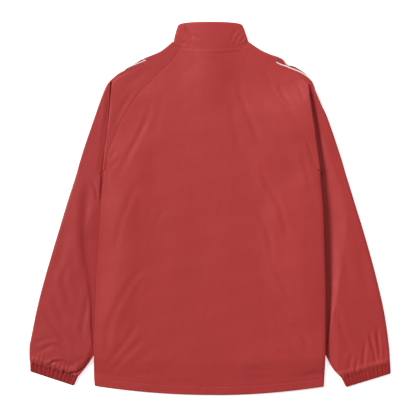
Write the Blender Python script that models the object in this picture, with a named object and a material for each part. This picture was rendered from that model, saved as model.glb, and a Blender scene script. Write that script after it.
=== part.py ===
"""An insulated jacket laid flat on its front, with its back up.

Stand collar, two-piece raglan sleeves with white piping in the overarm seams, elastic cuffs,
a turned hem and a front zip whose pull tab swings. The cloth lies in the XY plane with the
collar towards +Y and the back towards +Z. Left is the wearer's left, at -X.

Lengths in the tables and constants below are millimetres, and angles are degrees.
Run with: blender --background --python part.py
"""

from collections import namedtuple
from math import cos, pi, radians, sin

import bmesh
import bpy
from mathutils import Vector

MM = 0.001
SIDES = ("left", "right")

# ---- Cloth -----------------------------------------------------------------------------------
WALL = 4.0            # shell, light wadding and lining together
SEAM_WALL = 2.4       # the same, pressed by a seam
HEM_WALL = 3.4        # the turned and stitched hem
EDGE_WALL = 1.2       # where a folded edge rounds off
EDGE_REACH = 5.0      # a wall grows from a folded edge to its full thickness over this
GAP = 0.3             # between neighbouring pieces and between layers
SEAM_REACH = 9.0      # a wall grows from its seam to its full thickness over this
BACK_FLOOR = WALL + GAP

# ---- Body ------------------------------------------------------------------------------------
SIDE_RAMP = 50.0      # the body comes down from its raised sides over this
SIDE_SHARE = 0.75     # of a short row that its raised side and ramp may take
SIDE_CLEAR = 8.0      # the raised side reaches this far past the sleeve's hidden edge
LEAST_RAISED = 14.0
SIDE_EDGE = (2.0, 8.0)                          # the side's first steps in
MIDDLE_SPANS = 3      # from the side's ramp to the middle of the back, or to the zip
RAMP_SHARES = (1.0, 1.0, 1.0, 1.0, 0.42, 0.0)   # of the lift that is left, on the way in
ZIP_HALF = 5.5        # from the middle to a front's edge
ZIP_BED = 18.0        # a front is thin out to here, where the zip's tape lies behind it
ZIP_STEPS = (0.0, 11.5, 16.5)                   # in from a front's zip edge, past the bed
NECK_END_STEPS = (0.0, 1.5, 3.0)
NECK_LIFT = 4.8       # the zip's slider holds the layers up at the neck
NECK_LIFT_BACK = 6.2
NECK_LIFT_X = 75.0
NECK_LIFT_Y = (185.0, 300.0)

# ---- Sleeve ----------------------------------------------------------------------------------
FOLD_RADIUS = 2.15    # of the middle of the wall where it turns back on itself
FOLD_FILL = 0.98      # the most of the rise that the two turns may take
SLOPE_ARC = 1.6       # where there is no pleat: the turns of a plain slope, and its length
SLOPE_FALL = 2.0
ARC_STEPS = 2
HEAD_STEPS = ((2.0, 0.3), (8.0, 0.65))   # before the pleat: a distance, or this share of a short way
TAIL_SPANS = 3
TAIL_EDGE = (7.0, 0.4)                   # the last part of a back half, or this share of a short one
TAIL_LAST = 0.3                          # of that part, its last step
FRONT_STEPS = (0.0, 2.0, 8.0, 15.0)      # a front half's first steps, for a row of FRONT_FULL
FRONT_FULL = 100.0 / 3
FRONT_EDGE = (7.0, 50.0)                 # its last part, and the row that has room for it
FRONT_LAST = 0.7
UNDERARM_STEPS = (0.0, 0.6, 4.0, 12.0)
MARGIN_WALL = 2.4     # the sleeve where it lies pressed under the body
MARGIN_EDGE = (1.0, 2.0)                 # steps in from its hidden edge; the wall grows over the last
LEAST_MARGIN = 3.0
LEAST_SLANT = 0.5
MARGIN_RAMP = {"left": (-14.0, 6.0), "right": (-4.0, 26.0)}   # from the body's side to full wall
LEAST_RAMP = 10.0
UNDERARM_LIFT = 8.6   # the body's side stands on the sleeve's two layers
PIPING_RADIUS = 1.4
PIPING_ROOM = PIPING_RADIUS + GAP
PIPING_TOP = 5.9      # the cord's height where the seam lies on the back
# From under the sleeve's edge, round it and on to the back: distance in from the edge, height.
PIPING_ROUTE = [(3.0, 2.0), (1.2, 2.3), (-0.5, 4.15), (0.3, 5.6)]

# ---- Cuffs -----------------------------------------------------------------------------------
CUFF_WALL = 3.2
CUFF_SLIT = 0.7
CUFF_STEPS = 3
CUFF_SIDES = 5        # of each rounded end of its section
CUFF_SPANS = 4        # of each flat side

# ---- Zip -------------------------------------------------------------------------------------
TAPE = (2.7, 13.0, 2.7, 3.5)            # inner and outer x, lower and upper z
CHAIN = (2.3, 1.2, 3.9)                 # half width, lower and upper z
ZIP_TOP = 322.0
ZIP_BOTTOM = -386.0
ZIP_STATIONS = (ZIP_BOTTOM, -120.0, 120.0, 185.0, 215.0, 245.0, 275.0, 300.0, ZIP_TOP)
SLIDER_Y = (305.0, 318.0)
SLIDER_HALF = 4.6
SLIDER_PLATE = 1.3
SLIDER_CLEAR = 0.35                     # between the chain and the plates
SLIDER_BLOCK = 4.0
SLIDER_BLOCK_HALF = 1.9
SLIDER_BITE = 0.45                      # how far the slider's blocks run into each other
LUG_X = (2.2, 3.2)
LUG_HALF = 1.3
LUG_RADIUS = 1.5
PULL_PIVOT = (309.0, 2.1)               # y and z of the pull tab's pin
PIN_RADIUS = 0.7
PULL_EYE = (1.0, 1.85)                  # hole and outer radius
PULL_SIZE = (3.8, 8.0, 27.0, 1.3)       # neck width, width, length, thickness
PULL_NECK = 6.0                         # from the pin to the wide part
PULL_LAP = 1.0                          # the wide part's run into the neck
ROUND_SIDES = 16
PULL_DROOP = 2.2                        # the tab's free end hangs this many degrees

# ---- Finishes: linear colour, roughness, metallic ---------------------------------------------
SHARP_ANGLE = 40.0    # faces that meet at less than this are shaded as one surface
RED = ((0.445, 0.0545, 0.053), 0.62, 0.0)
CUFF_RED = ((0.33, 0.038, 0.038), 0.66, 0.0)
WHITE = ((0.83, 0.82, 0.80), 0.45, 0.0)
TAPE_RED = ((0.30, 0.030, 0.032), 0.75, 0.0)
CHAIN_RED = ((0.24, 0.024, 0.026), 0.40, 0.0)
METAL = ((0.55, 0.55, 0.56), 0.30, 1.0)

# A sleeve's rows run from the neck to the cuff, each from the seam by the body (sx, sy) to the
# outer edge (ex, ey). Above the underarm the first point is on the raglan seam. fold is the x of
# the pleat's folded edge, rise is how high the seam stands over a flat sleeve, and turn is how
# far the cloth turns under at the pleat. inset is how far inside the outer edge the
# piped overarm seam lies on the back, or None where it lies underneath.
SleeveRow = namedtuple("SleeveRow", "sx sy ex ey fold rise turn inset")
UNDERARM = 12         # the row that ends at the underarm
SLEEVE_ROWS = {
    "left": [
        SleeveRow(-64.3, 337.0, -80.0, 350.2, -71.0, 0.0, 0, None),
        SleeveRow(-74.0, 318.5, -105.0, 330.3, -88.0, 0.0, 0, None),
        SleeveRow(-86.5, 304.5, -131.0, 319.2, -108.0, 0.0, 0, None),
        SleeveRow(-103.5, 288.3, -151.0, 309.2, -132.0, 0.0, 0, 4.5),
        SleeveRow(-122.4, 270.5, -180.0, 292.4, -163.0, 0.4, 0, 1.6),
        SleeveRow(-142.0, 250.5, -203.5, 275.4, -193.0, 2.2, 0, None),
        SleeveRow(-159.0, 229.0, -216.2, 261.0, -207.0, 5.8, 75, None),
        SleeveRow(-174.5, 205.5, -225.6, 240.5, -210.5, 9.0, 115, None),
        SleeveRow(-187.0, 183.0, -233.6, 219.0, -212.5, 9.5, 110, None),
        SleeveRow(-196.5, 161.0, -243.6, 190.0, -215.5, 9.5, 105, None),
        SleeveRow(-204.6, 137.0, -253.6, 161.0, -218.5, 9.5, 100, None),
        SleeveRow(-212.9, 112.0, -263.8, 131.0, -221.8, 9.3, 90, None),
        SleeveRow(-223.2, 87.0, -273.5, 99.0, -227.6, 8.6, 80, None),
        SleeveRow(-224.4, 80.0, -277.6, 86.8, -234.5, 0.0, 0, None),
        SleeveRow(-214.0, 60.0, -285.0, 62.0, -236.0, 0.0, 0, None),
        SleeveRow(-205.0, 22.0, -298.0, 22.0, -240.0, 0.0, 0, None),
        SleeveRow(-199.0, -35.0, -315.6, -36.0, -246.0, 0.0, 0, None),
        SleeveRow(-201.5, -98.0, -333.6, -96.0, -255.0, 0.0, 0, None),
        SleeveRow(-208.5, -162.0, -350.3, -153.5, -266.0, 0.0, 0, None),
        SleeveRow(-218.0, -228.0, -364.8, -211.0, -278.0, 0.0, 0, None),
        SleeveRow(-230.5, -282.0, -375.2, -263.0, -290.0, 0.0, 0, None),
        SleeveRow(-246.8, -312.0, -380.7, -296.0, -302.0, 0.0, 0, None),
        SleeveRow(-261.0, -333.0, -380.6, -312.0, -311.0, 0.0, 0, None),
        SleeveRow(-277.5, -353.0, -379.4, -322.0, -320.0, 0.0, 0, None),
    ],
    "right": [
        SleeveRow(62.4, 337.0, 81.0, 350.3, 71.0, 0.0, 0, None),
        SleeveRow(73.0, 315.0, 106.0, 333.6, 88.0, 0.0, 0, None),
        SleeveRow(85.5, 297.2, 126.0, 324.4, 106.0, 0.0, 0, None),
        SleeveRow(104.0, 280.5, 148.0, 314.4, 130.0, 0.0, 0, 9.0),
        SleeveRow(121.0, 261.5, 178.0, 296.8, 160.0, 0.4, 0, 4.5),
        SleeveRow(138.5, 240.5, 203.5, 280.2, 190.0, 2.6, 0, 1.8),
        SleeveRow(156.5, 217.5, 214.0, 266.0, 205.0, 7.0, 95, 1.2),
        SleeveRow(172.0, 197.0, 222.7, 248.0, 208.0, 11.0, 140, 1.2),
        SleeveRow(184.8, 178.5, 232.2, 226.0, 211.8, 12.5, 150, None),
        SleeveRow(196.3, 157.0, 243.6, 197.0, 216.8, 13.0, 152, None),
        SleeveRow(206.0, 134.5, 254.6, 167.0, 220.6, 13.0, 148, None),
        SleeveRow(215.9, 110.0, 265.6, 134.5, 225.2, 11.5, 125, None),
        SleeveRow(227.8, 84.0, 278.0, 95.5, 232.4, 8.6, 85, None),
        SleeveRow(229.5, 77.0, 282.0, 82.5, 240.0, 0.0, 0, None),
        SleeveRow(218.5, 56.0, 291.0, 54.0, 242.0, 0.0, 0, None),
        SleeveRow(209.0, 20.0, 303.5, 13.0, 248.0, 0.0, 0, None),
        SleeveRow(202.0, -35.0, 319.6, -39.0, 255.0, 0.0, 0, None),
        SleeveRow(203.0, -98.0, 337.3, -100.0, 263.0, 0.0, 0, None),
        SleeveRow(209.0, -162.0, 352.6, -159.0, 273.0, 0.0, 0, None),
        SleeveRow(217.5, -228.0, 366.2, -221.0, 284.0, 0.0, 0, None),
        SleeveRow(230.0, -284.0, 374.2, -275.0, 294.0, 0.0, 0, None),
        SleeveRow(245.5, -314.0, 377.3, -306.0, 302.0, 0.0, 0, None),
        SleeveRow(257.0, -336.0, 378.0, -320.0, 308.0, 0.0, 0, None),
        SleeveRow(275.0, -356.0, 378.6, -328.0, 318.0, 0.0, 0, None),
    ],
}

# The body's rows below the underarm, from the hem up: its two sides (lx, ly) and (rx, ry), how
# far the row sags in the middle, how high its sides are lifted, and how far a sleeve reaches
# under them.
BodyRow = namedtuple("BodyRow", "lx ly rx ry sag lift overlap")
BODY_ROWS = [
    BodyRow(-243.2, -371.7, 238.8, -372.8, 19.4, 0.0, 0.0),
    BodyRow(-244.8, -350.0, 240.3, -350.0, 17.0, 0.0, 0.0),
    BodyRow(-244.7, -331.0, 240.9, -331.0, 15.0, 5.0, 4.0),
    BodyRow(-244.3, -308.0, 241.4, -308.0, 13.0, 8.6, 8.0),
    BodyRow(-243.5, -260.0, 242.0, -260.0, 9.0, 8.6, 22.0),
    BodyRow(-242.0, -200.0, 242.2, -200.0, 4.0, 8.6, 31.0),
    BodyRow(-239.6, -135.0, 241.2, -135.0, 1.0, 8.6, 37.0),
    BodyRow(-236.3, -68.0, 239.0, -68.0, 0.0, 8.6, 38.0),
    BodyRow(-232.0, -8.0, 237.3, -8.0, 0.0, 8.6, 34.0),
    BodyRow(-228.6, 34.0, 234.6, 34.0, 0.0, 8.6, 24.0),
    BodyRow(-226.2, 62.0, 231.8, 60.0, 0.0, 8.6, 10.0),
]
# The fronts' neckline, from the raglan seam to the zip: one point for each of the first rows.
NECKLINE = [(62.0, 333.0), (57.0, 312.0), (48.5, 295.0), (36.5, 281.0), (24.0, 272.6),
            (ZIP_HALF, 266.5)]
NECK_SAG = [4.8, 2.6, 1.2]

# The collar's band, from the zip round to the middle of the back: its lower edge (bx, by), its
# upper edge (tx, ty), how far it has turned at the folded side, and whether it is thin there
# because the zip's tape lies behind it.
CollarRow = namedtuple("CollarRow", "bx by tx ty turn bed")
COLLAR_TURN_RADIUS = 3.15
COLLAR_WALL = 3.4
COLLAR_BED_WALL = 2.0
COLLAR_BED = 1.3      # height of the thin part's middle
COLLAR_SHARES = (0.0, 0.12, 0.93, 1.0)
COLLAR_ROWS = [
    CollarRow(ZIP_HALF, 267.4, ZIP_HALF, 324.0, 0, True),
    CollarRow(17.6, 271.4, 15.5, 325.5, 0, True),
    CollarRow(23.0, 273.8, 21.0, 327.5, 0, False),
    CollarRow(36.2, 282.4, 33.0, 335.0, 0, False),
    CollarRow(47.8, 296.4, 45.0, 347.0, 0, False),
    CollarRow(56.3, 313.0, 54.0, 361.0, 0, False),
    CollarRow(60.8, 337.4, 59.5, 374.0, 0, False),
    CollarRow(74.2, 346.6, 63.5, 381.5, 0, False),
    CollarRow(74.2, 348.0, 63.5, 383.0, 45, False),
    CollarRow(74.2, 349.4, 63.5, 384.8, 90, False),
    CollarRow(74.2, 349.0, 63.5, 386.2, 135, False),
    CollarRow(74.6, 346.7, 62.5, 388.0, 180, False),
    CollarRow(60.0, 337.9, 48.0, 390.4, 180, False),
    CollarRow(42.0, 335.2, 33.0, 391.3, 180, False),
    CollarRow(21.0, 333.4, 16.0, 391.6, 180, False),
    CollarRow(0.0, 332.9, 0.0, 391.7, 180, False),
]

# A cuff's corners: by the sleeve's inner and outer edges, at its top and at its open end.
CuffPlan = namedtuple("CuffPlan", "top_inner top_outer end_inner end_outer")
CUFFS = {
    "left": CuffPlan((-278.6, -354.2), (-379.2, -323.4), (-286.6, -370.6), (-378.2, -340.4)),
    "right": CuffPlan((276.2, -357.2), (378.8, -329.4), (285.8, -374.6), (379.6, -346.6)),
}

# The back's largest soft folds: from (x0, y0) to (x1, y1), how wide and how high.
Fold = namedtuple("Fold", "x0 y0 x1 y1 width height")
BACK_FOLDS = [
    Fold(-150, 175, -205, -60, 48, 2.6),
    Fold(-175, -120, -215, -270, 45, 2.4),
    Fold(95, 150, 168, -50, 50, 2.4),
    Fold(150, -60, 200, -230, 44, 2.2),
    Fold(60, -330, 150, -318, 40, 1.6),
]


# ---- Small geometry ----------------------------------------------------------------------------
def smooth(value):
    """0 to 1 with soft ends."""
    value = min(1.0, max(0.0, value))
    return value * value * (3.0 - 2.0 * value)


def lerp(a, b, t):
    return a + (b - a) * t


def neck_lift(x, y, most):
    """How far the slider and the collar's bulk hold a layer up near the neck."""
    low, high = NECK_LIFT_Y
    return most * smooth(1.0 - abs(x) / NECK_LIFT_X) * smooth((y - low) / (high - low))


def fold_height(x, y):
    """The height of the back's soft folds at a point."""
    total = 0.0
    for fold in BACK_FOLDS:
        along = Vector((fold.x1 - fold.x0, fold.y1 - fold.y0))
        to_point = Vector((x - fold.x0, y - fold.y0))
        t = min(1.0, max(0.0, to_point.dot(along) / along.length_squared))
        away = (to_point - along * t).length
        ends = smooth(4.0 * t) * smooth(4.0 * (1.0 - t))
        total = max(total, fold.height * smooth(1.0 - away / fold.width) * ends)
    return total


def padded(distance):
    """The cloth's thickness at a distance from its seam."""
    return lerp(SEAM_WALL, WALL, sin(min(1.0, distance / SEAM_REACH) * pi / 2))


def rounded(distance):
    """The cloth's thickness at a distance from a folded edge."""
    return lerp(EDGE_WALL, WALL, min(1.0, distance / EDGE_REACH) ** 0.5)


# ---- Objects -----------------------------------------------------------------------------------
def finish(name, look):
    colour, roughness, metallic = look
    material = bpy.data.materials.new(name)
    material.use_nodes = True
    shader = material.node_tree.nodes["Principled BSDF"]
    shader.inputs["Base Color"].default_value = (*colour, 1.0)
    shader.inputs["Roughness"].default_value = roughness
    shader.inputs["Metallic"].default_value = metallic
    return material


def add_object(name, mesh, look):
    obj = bpy.data.objects.new(name, mesh)
    JACKET.objects.link(obj)
    mesh.materials.append(finish(name, look))
    mesh.shade_smooth()
    mesh.set_sharp_from_angle(angle=radians(SHARP_ANGLE))
    return obj


def mesh_from(name, points, faces):
    """A closed mesh in metres, with its faces turned outwards."""
    mesh = bpy.data.meshes.new(name)
    mesh.from_pydata([Vector(point) * MM for point in points], [], faces)
    work = bmesh.new()
    work.from_mesh(mesh)
    bmesh.ops.recalc_face_normals(work, faces=work.faces)
    work.to_mesh(mesh)
    work.free()
    return mesh


def cloth(name, under, over, look=RED):
    """A wall of cloth between two grids of points that have the same rows and columns."""
    rows, columns = len(under), len(under[0])
    points = [point for row in under for point in row] + [point for row in over for point in row]
    top = rows * columns

    def at(layer, row, column):
        return layer * top + row * columns + column

    faces = []
    for row in range(rows - 1):
        for column in range(columns - 1):
            corners = [(row, column), (row, column + 1), (row + 1, column + 1), (row + 1, column)]
            faces += [[at(layer, *corner) for corner in corners] for layer in (0, 1)]
    rim = [(0, column) for column in range(columns)]
    rim += [(row, columns - 1) for row in range(1, rows)]
    rim += [(rows - 1, column) for column in range(columns - 2, -1, -1)]
    rim += [(row, 0) for row in range(rows - 2, 0, -1)]
    for here, there in zip(rim, rim[1:] + rim[:1]):
        faces.append([at(0, *here), at(0, *there), at(1, *there), at(1, *here)])
    return add_object(name, mesh_from(name, points, faces), look)


def ring_wall(name, outer, inner, look):
    """A tube's wall between matching lists of rings."""
    rings, sides = len(outer), len(outer[0])
    points = [point for ring in outer + inner for point in ring]

    def at(layer, ring, side):
        return (layer * rings + ring) * sides + side % sides

    faces = []
    for side in range(sides):
        for ring in range(rings - 1):
            for layer in (0, 1):
                faces.append([at(layer, ring, side), at(layer, ring, side + 1),
                              at(layer, ring + 1, side + 1), at(layer, ring + 1, side)])
        for ring in (0, rings - 1):
            faces.append([at(0, ring, side), at(0, ring, side + 1),
                          at(1, ring, side + 1), at(1, ring, side)])
    return add_object(name, mesh_from(name, points, faces), look)


def box(name, low, high, look):
    """A block between two corners."""
    work = bmesh.new()
    bmesh.ops.create_cube(work, size=1.0)
    low, high = Vector(low), Vector(high)
    for vertex in work.verts:
        part = vertex.co + Vector((0.5, 0.5, 0.5))
        vertex.co = Vector(lerp(low[i], high[i], part[i]) for i in range(3)) * MM
    mesh = bpy.data.meshes.new(name)
    work.to_mesh(mesh)
    work.free()
    return add_object(name, mesh, look)


# ---- Body --------------------------------------------------------------------------------------
BodyLine = namedtuple("BodyLine", "sides sag back_lifts front_lifts overlap is_fold")
Spot = namedtuple("Spot", "x y lift wall to_middle")


def side_steps(full, room):
    """Distances in from a side: its rounded edge, its raised part, and its ramp down."""
    steps = [0.0, *SIDE_EDGE, full, full + SIDE_RAMP / 2, full + SIDE_RAMP]
    scale = min(1.0, SIDE_SHARE * room / steps[-1])
    return [step * scale for step in steps]


def body_lines():
    """Each row of the body, from the hem to the neck."""
    lines = []
    for row in BODY_ROWS:
        lifts = (row.lift, row.lift)
        lines.append(BodyLine(((row.lx, row.ly), (row.rx, row.ry)), row.sag, lifts, lifts,
                              row.overlap, True))
    for index in range(UNDERARM, -1, -1):
        left, right = SLEEVE_ROWS["left"][index], SLEEVE_ROWS["right"][index]
        sides = ((left.sx + GAP / 2, left.sy), (right.sx - GAP / 2, right.sy))
        sag = NECK_SAG[index] if index < len(NECK_SAG) else 0.0
        front_lift = UNDERARM_LIFT if index == UNDERARM else 0.0
        lines.append(BodyLine(sides, sag, (left.rise, right.rise), (front_lift, front_lift),
                              0.0, False))
    return lines


def half_row(line, side, middle, lift, sag, inner_steps):
    """Points of half a row, from its side to the middle."""
    side, middle = Vector(side), Vector(middle)
    length = (middle - side).length
    steps = side_steps(max(LEAST_RAISED, line.overlap + SIDE_CLEAR), length)
    last = steps[-1]
    steps += [lerp(last, length - inner_steps[-1], k / MIDDLE_SPANS) for k in range(1, MIDDLE_SPANS)]
    steps += [length - step for step in reversed(inner_steps)]
    lifts = [lift * share for share in RAMP_SHARES] + [0.0] * (len(steps) - len(RAMP_SHARES))
    spots = []
    for step, raised in zip(steps, lifts):
        t = step / length
        x, y = side.lerp(middle, t)
        y -= sag * (1.0 - (1.0 - t) ** 2)
        wall = rounded(step) if line.is_fold else padded(step)
        spots.append(Spot(x, y, raised, wall, length - step))
    return spots


def make_back():
    """The back panel, in one piece from side to side."""
    under, over = [], []
    lines = body_lines()
    for number, line in enumerate(lines):
        middle = (0.0, (line.sides[0][1] + line.sides[1][1]) / 2)
        halves = [half_row(line, side, middle, lift, line.sag, [0.0])
                  for side, lift in zip(line.sides, line.back_lifts)]
        low, high = [], []
        for spot in halves[0] + halves[1][-2::-1]:
            wall = min(spot.wall, HEM_WALL) if number == 0 else spot.wall
            wall = min(wall, SEAM_WALL) if number == len(lines) - 1 else wall
            z = BACK_FLOOR + spot.lift + fold_height(spot.x, spot.y)
            z += neck_lift(spot.x, spot.y, NECK_LIFT_BACK)
            low.append((spot.x, spot.y, z))
            high.append((spot.x, spot.y, z + wall))
        under.append(low)
        over.append(high)
    return cloth("back_panel", under, over)


def make_front(name, sign):
    """One front: a half of the body's rows, ending at the zip and at the neckline."""
    which = 0 if sign < 0 else 1
    under, over = [], []
    lines = body_lines()
    for number, line in enumerate(lines):
        side = line.sides[which]
        from_neck = len(lines) - 1 - number
        at_neck = from_neck < len(NECKLINE)
        middle = Vector(NECKLINE[from_neck] if at_neck else (ZIP_HALF, side[1]))
        middle.x *= sign
        inner = NECK_END_STEPS if from_neck < 2 else ZIP_STEPS
        low, high = [], []
        sag = 0.0 if at_neck else line.sag
        for spot in half_row(line, side, middle, line.front_lifts[which], sag, inner):
            wall = min(spot.wall, HEM_WALL) if number == 0 else spot.wall
            wall = min(wall, padded(spot.to_middle))
            top = WALL
            if abs(spot.x) < ZIP_BED:
                top = SEAM_WALL
                wall = SEAM_WALL
            z = spot.lift + neck_lift(spot.x, spot.y, NECK_LIFT)
            low.append((spot.x, spot.y, z + top - wall))
            high.append((spot.x, spot.y, z + top))
        under.append(low)
        over.append(high)
    return cloth(name, under, over)


# ---- Sleeves -----------------------------------------------------------------------------------
def edge_slants(rows):
    """For each row, how much shorter a distance from the outer edge is than along the row."""
    slants = []
    for index, row in enumerate(rows):
        before, after = rows[max(0, index - 1)], rows[min(len(rows) - 1, index + 1)]
        edge = Vector((after.ex - before.ex, after.ey - before.ey)).normalized()
        way = Vector((row.ex - row.sx, row.ey - row.sy)).normalized()
        slants.append(max(LEAST_SLANT, abs(edge.cross(way))))
    return slants


def half_ends(row, slant):
    """How far along a row its back half and its front half stop short of the outer edge."""
    if row.inset is None:
        return 0.0, (PIPING_ROUTE[0][0] + PIPING_ROOM) / slant
    return (row.inset + PIPING_ROOM) / slant, 0.0


def pleat_line(fold_at, rise, turn):
    """The middle line of a sleeve's back half over its pleat, as (distance, height) pairs.

    It runs level from the seam, turns under by the angle turn, falls, turns back out, and ends
    level and lower. The line's height is counted from its lower end.
    """
    steps = [k / ARC_STEPS for k in range(ARC_STEPS + 1)]
    if turn == 0:
        second = fold_at + SLOPE_ARC + SLOPE_FALL
        line = [(fold_at + SLOPE_ARC * t, rise * (1.0 - t / 2)) for t in steps]
        return line + [(second + SLOPE_ARC * t, rise / 2 * (1.0 - t)) for t in steps]
    angle = radians(turn)
    radius = min(FOLD_RADIUS, FOLD_FILL * rise / (2.0 * (1.0 - cos(angle))))
    straight = (rise - 2.0 * radius * (1.0 - cos(angle))) / sin(angle)
    start = fold_at - radius * (1.0 if turn >= 90 else sin(angle))
    line = []
    for t in steps:
        bend = angle * t
        line.append((start + radius * sin(bend), rise - radius * (1.0 - cos(bend))))
    x = line[-1][0] + straight * cos(angle)
    z = line[-1][1] - straight * sin(angle)
    for t in steps:
        bend = angle * (1.0 - t)
        line.append((x + radius * (sin(angle) - sin(bend)),
                     z - radius * (cos(bend) - cos(angle))))
    return line


def offset(line, walls):
    """The two faces of a wall whose middle line and thickness are given."""
    low, high = [], []
    for index, (s, z) in enumerate(line):
        before = Vector(line[max(0, index - 1)])
        after = Vector(line[min(len(line) - 1, index + 1)])
        way = (after - before).normalized()
        normal = Vector((-way.y, way.x))
        half = walls[index] / 2
        low.append((s - normal.x * half, z - normal.y * half))
        high.append((s + normal.x * half, z + normal.y * half))
    return low, high


def body_side(which, y):
    """The x of the body's side, below the underarm."""
    sides = [line.sides[which] for line in body_lines()[:len(BODY_ROWS) + 1]]
    for (x0, y0), (x1, y1) in zip(sides, sides[1:]):
        if y < y1:
            return lerp(x0, x1, max(0.0, (y - y0) / (y1 - y0)))
    return sides[-1][0]


def wall_ramps(side, rows):
    """Where each row's wall grows to its full thickness: thin under the body, then full."""
    ramps = []
    for row in rows:
        hidden = abs(body_side(SIDES.index(side), row.sy)) - abs(row.sx)
        start = max(LEAST_MARGIN, hidden + MARGIN_RAMP[side][0])
        ramps.append((start, max(start + LEAST_RAMP, hidden + MARGIN_RAMP[side][1])))
    return ramps


def arm_wall(s, ramp):
    """The sleeve's wall below the underarm, and how much lower its two layers meet there."""
    share = min(1.0, max(0.0, (s - ramp[0]) / (ramp[1] - ramp[0])))
    edge = lerp(EDGE_WALL, MARGIN_WALL, min(1.0, s / MARGIN_EDGE[1]))
    return lerp(edge, WALL, share), (WALL - MARGIN_WALL) * (1.0 - share)


def sleeve_back_row(row, index, last, slant, ramp):
    """One section of the back half: (distance along the row, height) for its two faces."""
    back_inset = half_ends(row, slant)[0]
    length = Vector((row.ex - row.sx, row.ey - row.sy)).length
    end = length - back_inset
    above = index <= UNDERARM
    if above:
        fold_at = (row.fold - row.sx) / (row.ex - row.sx) * length
        pleat = pleat_line(fold_at, row.rise, row.turn)
        first = pleat[0][0]
        head = [0.0] + [min(step, first * share) for step, share in HEAD_STEPS]
    else:
        pleat = [(lerp(*ramp, k / (2 * ARC_STEPS + 1)), 0.0) for k in range(2 * ARC_STEPS + 2)]
        head = [0.0, *MARGIN_EDGE]
    start = pleat[-1][0]
    near_edge = min(TAIL_EDGE[0], TAIL_EDGE[1] * (end - start))
    tail = [lerp(start, end - near_edge, (k + 1) / TAIL_SPANS) for k in range(TAIL_SPANS)]
    tail += [end - TAIL_LAST * near_edge, end]
    line, walls = [], []
    for s, z in [(s, row.rise) for s in head] + pleat + [(s, 0.0) for s in tail]:
        wall, sink = (padded(s), 0.0) if above else arm_wall(s, ramp)
        wall = min(wall, padded(end - s) if back_inset else rounded(end - s))
        if index in (0, last):
            wall, sink = min(wall, SEAM_WALL), 0.0
        walls.append(wall)
        line.append((s, z - sink))
    if row.turn == 0:
        return line, [(s, z + wall) for (s, z), wall in zip(line, walls)]
    return offset([(s, z + wall / 2) for (s, z), wall in zip(line, walls)], walls)


def row_frame(row, pull_in):
    """A function from a distance along a row to its x and y."""
    seam = Vector((row.sx, row.sy))
    way = (Vector((row.ex, row.ey)) - seam).normalized()

    def place(distance):
        return seam + way * (distance + pull_in)

    return place


def make_sleeve_back(name, rows, ramps):
    under, over = [], []
    last = len(rows) - 1
    for index, (row, slant, ramp) in enumerate(zip(rows, edge_slants(rows), ramps)):
        place = row_frame(row, GAP / 2 if index <= UNDERARM else 0.0)
        faces = sleeve_back_row(row, index, last, slant, ramp)
        for store, face in zip((under, over), faces):
            points = []
            for s, z in face:
                x, y = place(s)
                points.append((x, y, BACK_FLOOR + z + neck_lift(x, y, NECK_LIFT_BACK)))
            store.append(points)
    return cloth(name, under, over)


def front_steps(index, end, ramp):
    """Distances across a front half, and its lift at each of them."""
    if index == UNDERARM:
        steps = list(UNDERARM_STEPS)
    elif index < UNDERARM:
        steps = [step * min(1.0, end / FRONT_FULL) for step in FRONT_STEPS]
    else:
        steps = [0.0, MARGIN_EDGE[1], *ramp]
    near_edge = end - FRONT_EDGE[0] * min(1.0, end / FRONT_EDGE[1])
    steps += [(steps[-1] + near_edge) / 2, near_edge, lerp(near_edge, end, FRONT_LAST), end]
    lift = UNDERARM_LIFT if index == UNDERARM else 0.0
    return steps, [lift, lift] + [0.0] * (len(steps) - 2)


def make_sleeve_front(name, rows, ramps):
    under, over = [], []
    last = len(rows) - 1
    for index, (row, slant, ramp) in enumerate(zip(rows, edge_slants(rows), ramps)):
        above = index <= UNDERARM
        place = row_frame(row, GAP / 2 if above else 0.0)
        front_inset = half_ends(row, slant)[1]
        end = Vector((row.ex - row.sx, row.ey - row.sy)).length - front_inset
        low, high = [], []
        for s, lift in zip(*front_steps(index, end, ramp)):
            wall, sink = (padded(s), 0.0) if above else arm_wall(s, ramp)
            wall = min(wall, padded(end - s) if front_inset else rounded(end - s))
            if index in (0, last):
                wall, sink = min(wall, SEAM_WALL), 0.0
            x, y = place(s)
            top = WALL - sink + lift + neck_lift(x, y, NECK_LIFT)
            low.append((x, y, top - wall))
            high.append((x, y, top))
        under.append(low)
        over.append(high)
    return cloth(name, under, over)


def piping_points(rows):
    """The cord's route: under the sleeve's edge, and round it where the seam comes to the back."""
    spots = []
    for row, slant in zip(rows, edge_slants(rows)):
        if row.inset is None:
            spots.append((row, slant, *PIPING_ROUTE[0]))
        else:
            spots.append((row, slant, row.inset, PIPING_TOP))
    points = []
    for (row, slant, inset, z), (other, other_slant, _, _) in zip(spots, spots[1:] + spots[-1:]):
        points.append((row, row, 0.0, slant, inset, z))
        if (row.inset is None) == (other.inset is None):
            continue
        route = PIPING_ROUTE[1:]
        route = route if row.inset is None else route[::-1]
        for k, (inset, z) in enumerate(route):
            share = (k + 1) / (len(route) + 1)
            points.append((row, other, share, lerp(slant, other_slant, share), inset, z))
    return points


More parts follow.
